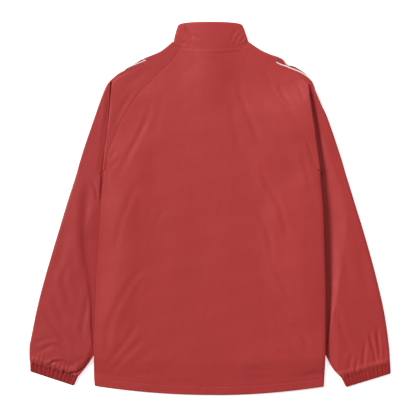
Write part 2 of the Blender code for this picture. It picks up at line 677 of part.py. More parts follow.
def make_piping(name, rows):
    """A cord along the overarm seam, from the neck to the cuff."""
    route = bpy.data.curves.new(name, "CURVE")
    route.dimensions = "3D"
    route.bevel_depth = PIPING_RADIUS * MM
    route.bevel_resolution = 1
    route.use_fill_caps = True
    points = piping_points(rows)[1:]
    spline = route.splines.new("POLY")
    spline.points.add(len(points) - 1)
    for point, (row, other, share, slant, inset, z) in zip(spline.points, points):
        edge = Vector((row.ex, row.ey)).lerp(Vector((other.ex, other.ey)), share)
        seam = Vector((row.sx, row.sy)).lerp(Vector((other.sx, other.sy)), share)
        x, y = edge - (edge - seam).normalized() * inset / slant
        z += neck_lift(x, y, NECK_LIFT)
        point.co = (x * MM, y * MM, z * MM, 1.0)
    obj = bpy.data.objects.new(name, route)
    JACKET.objects.link(obj)
    route.materials.append(finish(name, WHITE))
    return obj


# ---- Collar and cuffs --------------------------------------------------------------------------
def make_collar():
    """The stand collar's band, open at the zip and folded flat at the sides of the neck."""
    half = COLLAR_ROWS
    stations = [(row, -1) for row in half[:-1]] + [(half[-1], 1)] + [(row, 1) for row in half[-2::-1]]
    inner, outer = [], []
    for row, sign in stations:
        angle = radians(row.turn)
        normal = Vector((sin(angle) * sign, 0.0, -cos(angle)))
        low, high = [], []
        for share in COLLAR_SHARES:
            x = lerp(row.bx, row.tx, share)
            y = lerp(row.by, row.ty, share)
            wall = SEAM_WALL if share in (0.0, 1.0) else COLLAR_WALL
            wall = min(wall, COLLAR_BED_WALL) if row.bed else wall
            x_here = (x + COLLAR_TURN_RADIUS * sin(angle)) * sign
            z = COLLAR_BED if row.bed else WALL / 2
            z += COLLAR_TURN_RADIUS * (1.0 - cos(angle)) + neck_lift(x, y, NECK_LIFT)
            middle = Vector((x_here, y, z))
            low.append(middle - normal * wall / 2)
            high.append(middle + normal * wall / 2)
        inner.append(low)
        outer.append(high)
    return cloth("collar", inner, outer)


def make_cuff(name, plan):
    outer, inner = [], []
    for k in range(CUFF_STEPS):
        t = k / (CUFF_STEPS - 1)
        a = Vector(plan.top_inner).lerp(Vector(plan.end_inner), t)
        b = Vector(plan.top_outer).lerp(Vector(plan.end_outer), t)
        outer.append(flat_ring(a, b, CUFF_WALL))
        inner.append(flat_ring(a, b, 0.0))
    return ring_wall(name, outer, inner, CUFF_RED)


def flat_ring(a, b, grow):
    """A flattened ring between the plan points a and b, its surface grow away from the slit."""
    way = (b - a).normalized()
    reach = CUFF_WALL + CUFF_SLIT / 2
    half = CUFF_SLIT / 2 + grow
    middle_z = CUFF_WALL + CUFF_SLIT / 2
    first, second = a + way * reach, b - way * reach
    ring = []
    for k in range(CUFF_SIDES + 1):
        bend = pi / 2 + pi * k / CUFF_SIDES
        spot = first + way * half * cos(bend)
        ring.append((spot.x, spot.y, middle_z + half * sin(bend)))
    for k in range(1, CUFF_SPANS):
        spot = first.lerp(second, k / CUFF_SPANS)
        ring.append((spot.x, spot.y, middle_z - half))
    for k in range(CUFF_SIDES + 1):
        bend = -pi / 2 + pi * k / CUFF_SIDES
        spot = second + way * half * cos(bend)
        ring.append((spot.x, spot.y, middle_z + half * sin(bend)))
    for k in range(CUFF_SPANS - 1, 0, -1):
        spot = first.lerp(second, k / CUFF_SPANS)
        ring.append((spot.x, spot.y, middle_z + half))
    return ring


# ---- Zip ---------------------------------------------------------------------------------------
def make_zip_strip(name, x_low, x_high, z_low, z_high, top, look):
    """A flat strip along the zip that follows the lift of the layer it is in."""
    under, over = [], []
    for y in ZIP_STATIONS:
        y = min(y, top)
        lift = neck_lift(0.0, y, NECK_LIFT)
        under.append([(x_low, y, lift + z_low), (x_high, y, lift + z_low)])
        over.append([(x_low, y, lift + z_high), (x_high, y, lift + z_high)])
    return cloth(name, under, over, look)


def make_zip():
    inner, outer, low, high = TAPE
    make_zip_strip("zip_tape_left", -outer, -inner, low, high, ZIP_TOP, TAPE_RED)
    make_zip_strip("zip_tape_right", inner, outer, low, high, ZIP_TOP, TAPE_RED)
    half, low, high = CHAIN
    make_zip_strip("zip_chain", -half, half, low, high, SLIDER_Y[1] - SLIDER_BLOCK - GAP, CHAIN_RED)


def joined(name, parts, look):
    """One solid from overlapping closed meshes, joined with exact unions."""
    base = parts[0]
    for part in parts[1:]:
        modifier = base.modifiers.new("join", "BOOLEAN")
        modifier.operation = "UNION"
        modifier.object = part
    bpy.context.view_layer.update()
    graph = bpy.context.evaluated_depsgraph_get()
    mesh = bpy.data.meshes.new_from_object(base.evaluated_get(graph))
    for part in parts:
        bpy.data.objects.remove(part)
    mesh.materials.clear()
    return add_object(name, mesh, look)


def bar_x(name, y, z, radius, x_low, x_high):
    """A round bar along X."""
    rings = [[(x, y + radius * cos(2 * pi * k / ROUND_SIDES), z + radius * sin(2 * pi * k / ROUND_SIDES))
              for k in range(ROUND_SIDES)] for x in (x_low, x_high)]
    faces = [list(range(ROUND_SIDES)), list(range(ROUND_SIDES, 2 * ROUND_SIDES))]
    for k in range(ROUND_SIDES):
        after = (k + 1) % ROUND_SIDES
        faces.append([k, after, ROUND_SIDES + after, ROUND_SIDES + k])
    return add_object(name, mesh_from(name, rings[0] + rings[1], faces), METAL)


def slider_plate(name, z_low, z_high, half=SLIDER_HALF, y_low=SLIDER_Y[0]):
    """A block of the slider, up to its upper end."""
    return box(name, (-half, y_low, z_low), (half, SLIDER_Y[1], z_high), METAL)


def make_slider():
    """Two plates round the chain, joined at the upper end, with lugs and a pin for the pull tab."""
    lift = neck_lift(0.0, sum(SLIDER_Y) / 2, NECK_LIFT)
    low = CHAIN[1] + lift - SLIDER_CLEAR
    high = CHAIN[2] + lift + SLIDER_CLEAR
    pieces = [
        slider_plate("lower", low - SLIDER_PLATE, low),
        slider_plate("upper", high, high + SLIDER_PLATE),
        slider_plate("block", low - SLIDER_BITE, high + SLIDER_BITE, SLIDER_BLOCK_HALF,
                     SLIDER_Y[1] - SLIDER_BLOCK),
    ]
    y, z = PULL_PIVOT
    for sign in (-1, 1):
        ends = sorted((sign * LUG_X[0], sign * LUG_X[1]))
        pieces.append(box("lug", (ends[0], y - LUG_HALF, z), (ends[1], y + LUG_HALF, low - SLIDER_BITE),
                          METAL))
        pieces.append(bar_x("lug_end", y, z, LUG_RADIUS, *ends))
    pieces.append(bar_x("pin", y, z, PIN_RADIUS, -LUG_X[0] - SLIDER_BITE, LUG_X[0] + SLIDER_BITE))
    return joined("zip_slider", pieces, METAL)


def make_pull():
    """The pull tab: an eye round the slider's pin and a plain plate that hangs from it."""
    hole, eye = PULL_EYE
    neck, width, length, thick = PULL_SIZE
    rings = [[(radius * cos(2 * pi * k / ROUND_SIDES), radius * sin(2 * pi * k / ROUND_SIDES))
              for k in range(ROUND_SIDES)] for radius in (eye, hole)]
    points = [(x, y, z) for x in (-neck / 2, neck / 2) for ring in rings for y, z in ring]

    def at(end, ring, side):
        return (end * 2 + ring) * ROUND_SIDES + side % ROUND_SIDES

    faces = []
    for side in range(ROUND_SIDES):
        for ring in (0, 1):
            faces.append([at(0, ring, side), at(0, ring, side + 1),
                          at(1, ring, side + 1), at(1, ring, side)])
        for end in (0, 1):
            faces.append([at(end, 0, side), at(end, 0, side + 1),
                          at(end, 1, side + 1), at(end, 1, side)])
    half = thick / 2
    pieces = [
        add_object("eye", mesh_from("eye", points, faces), METAL),
        box("stem", (-neck / 2, -PULL_NECK, -half), (neck / 2, -(hole + eye) / 2, half), METAL),
        box("plate", (-width / 2, -length, -half), (width / 2, PULL_LAP - PULL_NECK, half), METAL),
    ]
    tab = joined("zip_pull", pieces, METAL)
    tab.location = (0.0, PULL_PIVOT[0] * MM, PULL_PIVOT[1] * MM)
    tab.rotation_euler = (radians(PULL_DROOP), 0.0, 0.0)
    return tab


# ---- Assembly ----------------------------------------------------------------------------------
def cleared_collection(name):
    for obj in list(bpy.data.objects):
        bpy.data.objects.remove(obj)
    collection = bpy.data.collections.new(name)
    bpy.context.scene.collection.children.link(collection)
    return collection


def centre(collection):
    """Moves the objects together, until their bounding box is centred over the origin."""
    bpy.context.view_layer.update()
    corners = [obj.matrix_world @ Vector(corner)
               for obj in collection.objects for corner in obj.bound_box]
    shift = Vector((0.0, 0.0, 0.0))
    for i in (0, 1):
        places = [corner[i] for corner in corners]
        shift[i] = -(min(places) + max(places)) / 2
    for obj in collection.objects:
        obj.location += shift


JACKET = cleared_collection("insulated_jacket")
make_back()
make_front("front_left", -1)
make_front("front_right", 1)
for side, sleeve_rows in SLEEVE_ROWS.items():
    side_ramps = wall_ramps(side, sleeve_rows)
    make_sleeve_back("sleeve_back_" + side, sleeve_rows, side_ramps)
    make_sleeve_front("sleeve_front_" + side, sleeve_rows, side_ramps)
    make_piping("piping_" + side, sleeve_rows)
    make_cuff("cuff_" + side, CUFFS[side])
make_collar()
make_zip()
make_slider()
make_pull()
centre(JACKET)
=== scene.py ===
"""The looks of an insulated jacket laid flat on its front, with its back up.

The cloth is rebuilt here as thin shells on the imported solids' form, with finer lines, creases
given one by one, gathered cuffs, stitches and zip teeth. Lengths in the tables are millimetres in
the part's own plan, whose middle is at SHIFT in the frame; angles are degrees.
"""

import random
from collections import namedtuple
from math import cos, pi, radians, sin

import bmesh
import bpy
import numpy as np
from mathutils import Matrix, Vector


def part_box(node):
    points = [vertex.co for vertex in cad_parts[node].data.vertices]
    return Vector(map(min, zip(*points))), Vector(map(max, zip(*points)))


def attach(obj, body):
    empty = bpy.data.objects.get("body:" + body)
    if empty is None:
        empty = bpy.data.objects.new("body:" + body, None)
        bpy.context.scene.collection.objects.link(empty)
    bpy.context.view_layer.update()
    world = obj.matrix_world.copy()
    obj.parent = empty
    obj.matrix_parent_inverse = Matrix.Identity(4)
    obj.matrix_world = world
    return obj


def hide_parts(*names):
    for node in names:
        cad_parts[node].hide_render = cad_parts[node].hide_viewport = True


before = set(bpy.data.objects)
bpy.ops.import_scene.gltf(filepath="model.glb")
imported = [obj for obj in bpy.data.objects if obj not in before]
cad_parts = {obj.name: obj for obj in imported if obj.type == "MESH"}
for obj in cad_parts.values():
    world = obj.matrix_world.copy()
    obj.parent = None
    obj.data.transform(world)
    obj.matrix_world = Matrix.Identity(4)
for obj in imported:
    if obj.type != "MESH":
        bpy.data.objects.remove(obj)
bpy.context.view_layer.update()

MM = 0.001
SIDES = ("left", "right")
BODY = "jacket"
SLIDER_TOP = 318.0
SLIDER_LOW, SLIDER_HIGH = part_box("zip_slider")
SHIFT = np.array([(SLIDER_LOW[0] + SLIDER_HIGH[0]) / 2, SLIDER_HIGH[1] - SLIDER_TOP * MM, 0.0])

# ---- The form of the cloth -----------------------------------------------------------------------
WALL = 4.0            # shell, light wadding and lining together
SEAM_WALL = 2.4       # the same, pressed by a seam
SEAM_TOP = 3.8        # as it looks from above: the padding comes close to the stitches
HEM_WALL = 3.4        # the turned and stitched hem
NECK_WALL = 3.0       # of the back at the neck seam
EDGE_WALL = 1.2       # where a folded edge rounds off
EDGE_REACH = 5.0
CRISP_REACH = 2.2     # where it was pressed flatter
LEAST_WALL = 0.9      # under the deepest crease
GAP = 0.3
SEAM_REACH = 6.0
SEAM_LIP = 1.1        # the cloth rolls down into its seam over this
SEAM_DROP = 0.12
NECK_PAD = {"back": 1.2, "sleeve": 1.3}   # how far each rises to meet the collar
NECK_PAD_REACH = 14.0
TUCK = 2.6            # how far a seam's hidden edge reaches past its stitches
NECK_SEAM = TUCK + 0.6   # from the hidden edge to the seam as it looks
TUCK_DROPS = {"back": (0.8, 0.4), "sleeve": (0.8, 1.3)}   # of its underside and its top
BACK_FLOOR = WALL + GAP
SIDE_STEPS = (0.0, 0.7, 2.0, 8.0)
SIDE_RAMP = 95.0
SIDE_SHARE = 0.75
SIDE_CLEAR = 8.0
LEAST_RAISED = 14.0
RAMP_SHARES = (1.0, 1.0, 1.0, 1.0, 1.0, 0.42, 0.0)
INNER_COLUMNS = 3
BELLY = 5.6           # how far the middle of the back stands off the fronts
BELLY_REACH = 60.0
BELLY_Y = ((-372.0, 80.0), (300.0, 150.0))
ZIP_HALF = 5.5
ZIP_BED = 17.0
ZIP_FLAT = 18.0       # how far out the fronts are pressed by the zip
ZIP_STEPS = (0.0, 11.5, 16.5)
NECK_END_STEPS = (0.0, 1.5, 3.0)
NECK_LIFT = 4.8
NECK_LIFT_BACK = 6.2
NECK_LIFT_X = 75.0
NECK_LIFT_Y = (185.0, 300.0)
FOLD_RADIUS = 2.15
CRISP_RADIUS = 1.4
PLEAT_WALL = 2.6
FOLD_FILL = 0.98
SLOPE_WIDTH = 16.0
ARC_STEPS = 4
MARGIN_WALL = 2.4
MARGIN_RAMP = {"left": (-14.0, 6.0), "right": (-4.0, 26.0)}
LEAST_START = 3.0
LEAST_RAMP = 10.0
UNDERARM_LIFT = 8.6
UNDERARM_REACH = ((0.0, 25.0, 60.0, 74.0), (0.0, 8.0, 18.0, 22.0))  # of the front half, inward
PIPING_RADIUS = 1.4
PIPING_ROOM = PIPING_RADIUS + GAP
PIPING_TOP = 6.5
PIPING_END = 0.55     # of its thickness, at its rounded ends
PIPING_SHARE = {"left": 0.8, "right": 1.0}
FLAP_LIFT = (2.8, 4.4)   # of the front half outside the piping where that shows
PIPING_HIDDEN = (3.0, 2.0)   # out of sight: how far inside the edge it runs, and how high
PIPING_DIP = ((14.0, 4.2), (6.0, 4.9))   # how high it is that far before it comes out

# A row across a sleeve runs from its seam (sx, sy) to its overarm edge (ex, ey). Its pleat folds
# at x = fold, stands as high as rise and turns down by turn degrees, and the sleeve goes on below.
# inset is how far inside the edge the piping shows; without it the piping is out of sight.
SleeveRow = namedtuple("SleeveRow", "sx sy ex ey fold rise turn inset", defaults=(0.0, 0, None))
UNDERARM = 12         # the last row that is sewn to the body
UNDERARM_Y = 78.0     # between that row and the next
SLEEVE_ROWS = {side: [SleeveRow(*row) for row in rows] for side, rows in {
    "left": [
        (-64.3, 337.0, -80.0, 350.2, -71.0),
        (-74.0, 318.5, -105.0, 330.3, -88.0),
        (-86.5, 304.5, -131.0, 319.2, -108.0),
        (-103.5, 288.3, -151.0, 309.2, -132.0, 0.0, 0, 4.5),
        (-122.4, 270.5, -180.0, 292.4, -163.0, 0.4, 0, 1.6),
        (-142.0, 250.5, -203.5, 275.4, -193.0, 2.2),
        (-159.0, 229.0, -216.2, 261.0, -206.8, 4.2, 90),
        (-174.5, 205.5, -225.6, 240.5, -209.0, 3.6, 90),
        (-187.0, 183.0, -233.6, 219.0, -211.4, 3.4, 80),
        (-196.5, 161.0, -243.6, 190.0, -214.8, 3.6, 75),
        (-206.4, 137.2, -253.6, 161.0, -218.0, 4.4, 75),
        (-215.4, 110.4, -263.8, 131.0, -221.2, 6.0, 75),
        (-222.2, 81.2, -275.9, 92.0, -223.9, 7.0, 75),
        (-221.5, 73.0, -279.8, 79.4, -234.5),
        (-214.0, 60.0, -285.0, 62.0, -236.0),
        (-205.0, 22.0, -298.0, 22.0, -240.0),
        (-199.0, -35.0, -315.6, -36.0, -246.0),
        (-201.5, -98.0, -333.6, -96.0, -255.0),
        (-208.5, -162.0, -350.3, -153.5, -266.0),
        (-218.0, -228.0, -364.8, -211.0, -278.0),
        (-230.5, -282.0, -375.2, -263.0, -290.0),
        (-246.8, -312.0, -380.7, -296.0, -302.0),
        (-261.0, -333.0, -380.6, -312.0, -311.0),
        (-277.5, -353.0, -379.4, -322.0, -320.0),
    ],
    "right": [
        (62.4, 337.0, 81.0, 350.3, 71.0),
        (73.0, 315.0, 106.0, 333.6, 88.0),
        (85.5, 297.2, 126.0, 324.4, 106.0),
        (104.0, 280.5, 148.0, 314.4, 130.0, 0.0, 0, 9.0),
        (121.0, 261.5, 178.0, 296.8, 160.0, 0.4, 0, 4.5),
        (138.5, 240.5, 203.5, 280.2, 190.0, 2.6, 0, 1.8),
        (156.5, 217.5, 214.0, 266.0, 205.0, 7.0, 95),
        (172.0, 197.0, 222.7, 248.0, 208.0, 11.0, 140, 0.7),
        (184.8, 178.5, 232.2, 226.0, 211.8, 12.5, 150, 0.9),
        (196.3, 157.0, 243.6, 197.0, 216.8, 13.0, 152),
        (206.0, 134.5, 254.6, 167.0, 220.6, 12.0, 146),
        (215.9, 110.0, 265.6, 134.5, 225.2, 11.2, 120),
        (226.2, 79.5, 280.0, 89.0, 230.0, 10.7, 80),
        (227.4, 71.0, 284.2, 75.6, 240.0),
        (218.5, 56.0, 291.0, 54.0, 242.0),
        (209.0, 20.0, 303.5, 13.0, 248.0),
        (202.0, -35.0, 319.6, -39.0, 255.0),
        (203.0, -98.0, 337.3, -100.0, 263.0),
        (209.0, -162.0, 352.6, -159.0, 273.0),
        (217.5, -228.0, 366.2, -221.0, 284.0),
        (230.0, -284.0, 374.2, -275.0, 294.0),
        (245.5, -314.0, 377.3, -306.0, 302.0),
        (257.0, -336.0, 378.0, -320.0, 308.0),
        (275.0, -356.0, 378.6, -328.0, 318.0),
    ],
}.items()}

# More rows where the piping comes out from under the back half, and goes in again.
PIPING_ROWS = {side: [SleeveRow(*row) for row in rows] for side, rows in {
    "left": [
        (-94.2, 297.2, -139.8, 314.9, -119.0),
        (-95.4, 296.0, -141.6, 314.0, -120.5, 0.0, 0, 4.8),
        (-103.5, 288.3, -151.0, 309.2, -132.0, 0.0, 0, 4.0),
        (-113.0, 279.4, -165.5, 300.9, -147.0, 0.2, 0, 1.4),
        (-122.4, 270.5, -180.0, 292.4, -163.0, 0.4, 0, 0.8),
        (-128.3, 264.5, -187.0, 287.3, -172.0, 1.0),
    ],
    "right": [
        (102.6, 281.8, 146.8, 315.6, 129.0),
        (104.0, 280.5, 148.6, 315.0, 130.5, 0.0, 0, 12.0),
        (108.5, 275.6, 157.0, 305.8, 137.5, 0.0, 0, 7.2),
        (113.5, 270.1, 165.2, 299.6, 146.5, 0.1, 0, 2.6),
        (116.9, 266.5, 171.0, 299.6, 152.5, 0.2, 0, 4.2),
        (121.0, 261.5, 178.5, 297.4, 160.0, 0.4, 0, 6.0),
        (129.7, 251.0, 190.8, 290.0, 175.0, 1.4, 0, 4.0),
        (138.5, 240.5, 203.5, 280.2, 190.0, 2.6, 0, 1.8),
    ],
}.items()}
# A second glimpse of the right piping, outside the first flap.
PIPING_GLIMPSE = [(147.0, 317.0, 1.5), (150.6, 316.2, 2.4), (154.6, 311.6, 4.0),
                  (159.2, 306.6, 4.4), (164.2, 302.2, 4.4), (169.2, 300.6, 4.2),
                  (174.2, 299.4, 2.6), (177.0, 296.0, 1.5)]

# A row across the body has its left and right side, how much lower its middle is, how high the
# sleeve under it lifts its sides, and how far it lies over that sleeve.
BodyRow = namedtuple("BodyRow", "lx ly rx ry sag lift overlap")
BODY_ROWS = [BodyRow(*row) for row in (
    (-243.2, -373.0, 238.8, -374.6, 18.4, 0.0, 0.0),
    (-244.8, -350.0, 240.3, -350.0, 17.0, 0.0, 0.0),
    (-244.7, -331.0, 240.9, -331.0, 15.0, 5.0, 4.0),
    (-244.3, -308.0, 241.4, -308.0, 13.0, 8.6, 8.0),
    (-242.6, -260.0, 242.0, -260.0, 9.0, 8.6, 22.0),
    (-240.8, -200.0, 242.2, -200.0, 4.0, 8.6, 31.0),
    (-238.0, -135.0, 241.2, -135.0, 1.0, 8.6, 37.0),
    (-234.0, -68.0, 239.0, -68.0, 0.0, 8.6, 38.0),
    (-229.4, -8.0, 237.0, -8.0, 0.0, 8.6, 34.0),
    (-226.2, 34.0, 233.9, 34.0, 0.0, 8.6, 24.0),
    (-224.2, 62.0, 231.4, 60.0, 0.0, 8.6, 10.0),
    (-224.1, 80.4, 230.8, 78.5, 1.4, 8.6, 10.2),
)]
# Where the fronts' upper rows end, from the collar's side down to the zip.
NECKLINE = [(62.0, 333.0), (57.0, 312.0), (48.5, 295.0), (36.5, 281.0), (24.0, 272.6),
            (ZIP_HALF, 266.5)]
NECK_SAG = [4.8, 2.6, 1.2]   # how much lower the middle of the back's upper rows is

COLLAR_TURN_RADIUS = 3.15
COLLAR_WALL = 3.4
COLLAR_SEAM_WALL = 1.4
COLLAR_BED_WALL = 2.0
COLLAR_BED = 1.3
COLLAR_FLARE = 2.6        # of its right lower corner, more than the left
COLLAR_FLARE_X = (45.0, 30.0)
COLLAR_SEAM = (0.7, 0.75)   # how far its sewn edge is tucked in, and down
COLLAR_FULL = 0.4         # where it is as thick as it gets
COLLAR_EDGE = 0.95        # where it starts to thin towards its free edge
COLLAR_GRID = (1.3, 1.5)
COLLAR_SHARES = (0.0, 0.03, 0.12, 0.25, 0.5, 0.93, 0.97, 0.99, 1.0)
# From the zip round to the middle of the back: where the collar is sewn on (bx, by), its free edge
# (tx, ty), how far it has turned over to the back in degrees, and whether the zip presses it.
CollarRow = namedtuple("CollarRow", "bx by tx ty turn bed", defaults=(0, False))
COLLAR_ROWS = [CollarRow(*row) for row in (
    (ZIP_HALF, 267.4, ZIP_HALF, 324.0, 0, True),
    (17.6, 271.4, 15.5, 325.5, 0, True),
    (23.0, 273.8, 21.0, 327.5),
    (36.2, 282.4, 33.0, 335.0),
    (47.8, 296.4, 45.0, 347.0),
    (56.3, 313.0, 54.0, 361.0),
    (60.8, 337.4, 59.5, 374.0),
    (74.2, 346.6, 63.5, 381.5),
    (74.2, 348.0, 63.5, 383.0, 45),
    (74.2, 349.4, 63.5, 384.8, 90),
    (74.2, 349.0, 63.5, 386.2, 135),
    (74.6, 346.7, 62.5, 388.0, 180),
    (60.0, 337.9, 48.0, 390.4, 180),
    (42.0, 335.2, 33.0, 391.3, 180),
    (21.0, 333.4, 16.0, 391.6, 180),
    (0.0, 332.9, 0.0, 391.7, 180),
)]

CUFF_WALL = 3.2
CUFF_SLIT = 0.7
CUFF_TUCK = -0.2          # of its height that a cuff reaches under the sleeve
CUFF_STEPS = (15, 110, 12)   # along the arm, across the cuff and round its ends
CUFF_OPEN = (0.9, 0.55)   # where the band starts to thin towards the hand, and by how much
CUFF_SEWN = (0.02, 0.22, 0.45)   # the same towards the sleeve: where, over what, and by how much
RIB_SHARES = {"end": 0.4, "under": 0.6, "top": 1.0}
RIB_WIDTH = 1.45
CuffPlan = namedtuple("CuffPlan", "top_inner top_outer end_inner end_outer")
CUFFS = {
    "left": CuffPlan((-278.6, -354.2), (-379.2, -323.4), (-287.0, -373.0), (-378.8, -342.8)),
    "right": CuffPlan((276.2, -357.2), (378.8, -329.4), (285.5, -376.0), (379.6, -347.2)),
}

# A broad, soft fold of the back.
Fold = namedtuple("Fold", "x0 y0 x1 y1 width height")
BACK_FOLDS = [Fold(*fold) for fold in (
    (-150, 175, -205, -60, 48, 2.6),
    (-175, -120, -215, -270, 45, 2.4),
    (95, 150, 168, -50, 50, 2.4),
    (150, -60, 200, -230, 44, 2.2),
    (60, -330, 150, -318, 40, 1.6),
)]

ZIP_TOP = 322.0
ZIP_BOTTOM = -386.0
TAPE = (2.7, 13.0, 2.7, 3.5)   # its inner and outer edge, its underside and its top
TAPE_COLUMNS = 9
TAPE_STEP = 3.0
TAPE_RIB = 0.12
CHAIN = (2.3, 1.2, 3.9)        # half its width, its underside and its top
CHAIN_END = 313.7
TOOTH = (1.5, 2.0)             # length and pitch along the zip, of one side's teeth
TOOTH_CORE = -0.7
TOOTH_CHAMFER = 0.25

# ---- Creases -------------------------------------------------------------------------------------
# A crease runs through its points. A positive depth is a trough and a negative one a ridge.
# width is from its middle to where it is a third as deep. lean puts more of the cloth that the
# trough pushes up on one side: 1 for the side on the left when looking along the points.
Crease = namedtuple("Crease", "points width depth lean", defaults=(0.0,))
CREASE_REACH = 4.0    # widths beyond which it adds nothing
CREASE_FADE = 0.3     # of its length, at each end
CREASE_RIM = (0.3, 1.9, 1.1)   # height, place and spread of what it pushes up
BACK_CREASES = [Crease(*crease) for crease in (
    # From the left raglan seam down to the side.
    ([(-120, 243), (-133, 192), (-154, 144), (-173, 112), (-190, 77), (-204, 43)], 6, 1.2, 0.15),
    ([(-122, 213), (-148, 156), (-167, 117), (-185, 64)], 5, 0.9, -0.1),
    ([(-196, 127), (-209, 104)], 4, 0.9),
    ([(-190, 104), (-206, 87)], 4, 0.8),
    ([(-96, 262), (-104, 226), (-112, 180), (-118, 140)], 7, 0.6, 0.3),
    # Over the edge of the left sleeve that lies under the body.
    ([(-141, 66), (-164, 33), (-175, 1), (-185, -20), (-196, -68), (-204, -98)], 6, 1.2, 0.1),
    ([(-91, 3), (-104, -14), (-120, -39)], 6, 0.7),
    ([(-133, -140), (-148, -160), (-162, -184)], 6, 0.7),
    ([(-120, -104), (-164, -152), (-190, -194), (-211, -245), (-217, -289), (-225, -324)],
     7, 1.5, 0.5),
    ([(-143, -230), (-173, -272), (-196, -303), (-227, -341)], 6, 1.3, 0.3),
    ([(-128, -268), (-150, -282), (-175, -306), (-204, -337), (-225, -347)], 6, 1.3, 0.4),
    ([(-110, -290), (-140, -310), (-170, -332)], 8, 0.7),
    ([(-162, -345), (-136, -347), (-110, -345)], 5, 0.9, 0.3),
    ([(-91, -331), (-74, -320)], 5, 0.7),
    ([(-80, -363), (-54, -366), (-28, -364)], 5, 0.9, 0.3),
    # From the right raglan seam down.
    ([(62, 268), (62, 243), (79, 200), (96, 159), (115, 123)], 6, 1.2, -0.4),
    ([(44, 236), (50, 180), (62, 130), (70, 96)], 8, 0.6, -0.2),
    ([(100, 102), (117, 56), (142, 12), (159, -45), (163, -79)], 6, 1.4, -0.5),
    ([(90, 1), (115, -37), (127, -77), (127, -110)], 6, 1.0, -0.3),
    ([(128, -110), (143, -140), (157, -167), (167, -188)], 6, 0.9, -0.3),
    ([(85, -110), (120, -160), (150, -205), (172, -250)], 8, 0.7, -0.2),
    ([(163, -236), (180, -250), (195, -266), (211, -297)], 6, 1.3, -0.3),
    ([(120, -200), (150, -250), (190, -300)], 8, 0.6),
    ([(180, 252), (190, 236), (199, 214)], 4, 0.5),
    ([(201, 154), (211, 117), (222, 87)], 4, 1.0, -0.3),
    ([(188, 120), (200, 84), (212, 40)], 5, 0.8, -0.3),
    # Ripples over the right of the hem.
    ([(83, -331), (100, -338), (115, -350)], 5, 0.9, 0.2),
    ([(100, -352), (118, -355), (136, -361)], 4, 0.8, 0.2),
    ([(136, -297), (150, -303), (163, -314)], 5, 0.9),
    ([(196, -350), (215, -347), (232, -343)], 4, 0.8),
)]
SLEEVE_CREASES = [Crease(*crease) for crease in (
    # Left shoulder and upper arm.
    ([(-118, 300), (-150, 278), (-178, 250), (-198, 222)], 8, 0.5),
    ([(-150, 262), (-172, 232), (-192, 198), (-204, 160)], 6, 0.7, 0.3),
    ([(-212, 240), (-214, 205), (-222, 160)], 4, 0.8),
    # The valley down the left forearm, and the soft folds beside it.
    ([(-248, 74), (-256, 45), (-260, 14), (-262, -30), (-262, -70), (-258, -120), (-252, -170)],
     9, 2.2, -0.6),
    ([(-282, 90), (-290, 0), (-302, -90), (-318, -180), (-332, -250)], 24, -1.3),
    ([(-241, 24), (-234, 18), (-228, 21)], 3, 1.3),
    ([(-250, 60), (-240, 40), (-236, 15)], 4, 0.9),
    ([(-300, -20), (-306, -70), (-318, -120), (-330, -160)], 9, 0.8),
    ([(-296, -110), (-309, -152), (-300, -180), (-290, -209)], 7, 1.0, 0.2),
    ([(-353, -209), (-334, -238), (-309, -272), (-295, -293)], 6, 1.2, 0.1),
    ([(-330, -180), (-318, -214), (-300, -250)], 8, 0.9, 0.2),
    ([(-252, -160), (-260, -210), (-268, -250), (-262, -290)], 6, 1.0),
    ([(-374, -303), (-352, -296), (-330, -287), (-309, -299), (-292, -320), (-284, -330)],
     5, 1.3, 0.2),
    ([(-372, -284), (-345, -276), (-322, -272)], 5, 0.8),
    ([(-341, -333), (-333, -325), (-322, -321), (-308, -324)], 3, 2.0, 0.9),
    ([(-296, -308), (-278, -318), (-262, -316)], 5, 0.9),
    ([(-330, -330), (-311, -337), (-290, -339), (-268, -328)], 6, -2.4),
    ([(-322, -341), (-303, -346), (-284, -345), (-268, -337), (-254, -318), (-244, -300)],
     2.2, 2.6),
    # Right shoulder and upper arm.
    ([(108, 296), (122, 272), (140, 250)], 6, 0.7, -0.3),
    ([(136, 274), (146, 255), (157, 232), (170, 212), (184, 192)], 5, 0.9, -0.4),
    ([(180, 264), (190, 243), (199, 222)], 4, 0.7, -0.3),
    ([(250, 180), (262, 130), (276, 80), (290, 30)], 8, 0.6),
    # Right forearm.
    ([(262, 20), (272, -40), (282, -110), (296, -180)], 10, 0.8, -0.2),
    ([(312, -60), (322, -130), (334, -200)], 9, 0.6),
    ([(262, -180), (270, -230), (286, -280), (300, -310)], 7, 0.9),
    ([(350, -245), (352, -270), (355, -295), (356, -327)], 3.5, 2.2, -0.4),
    ([(333, -256), (340, -285), (346, -306), (347, -333)], 3.5, 2.0, -0.4),
    ([(326, -275), (324, -300), (321, -337)], 3.5, 1.6, 0.4),
    ([(309, -314), (307, -330), (306, -343)], 3, 1.3),
    ([(366, -280), (367, -305), (367, -328)], 3.5, 0.8),
    ([(300, -300), (294, -322), (290, -345)], 4, 0.8),
)]
COLLAR_CREASES = [Crease(*crease) for crease in (
    ([(-56, 381), (-47, 372), (-40, 362), (-34, 352)], 4.2, 1.2, 0.3),
    ([(-42, 366), (-30, 360), (-18, 357)], 3.6, 0.5),
    ([(-76, 364), (-68, 356), (-60, 349), (-50, 344)], 3.4, 1.2, 0.3),
    ([(-72, 352), (-62, 344), (-52, 340)], 3.0, 0.7),
    ([(70, 372), (63, 364), (57, 356), (51, 345), (47, 338)], 3.4, 0.55, -0.4),
    ([(60, 378), (50, 366), (44, 352), (41, 342)], 4.0, 0.45),
    ([(74, 366), (69, 357), (64, 350), (58, 344)], 3.0, 0.6),
    ([(50, 338), (62, 341), (72, 345), (82, 349)], 3.0, 0.8),
)]

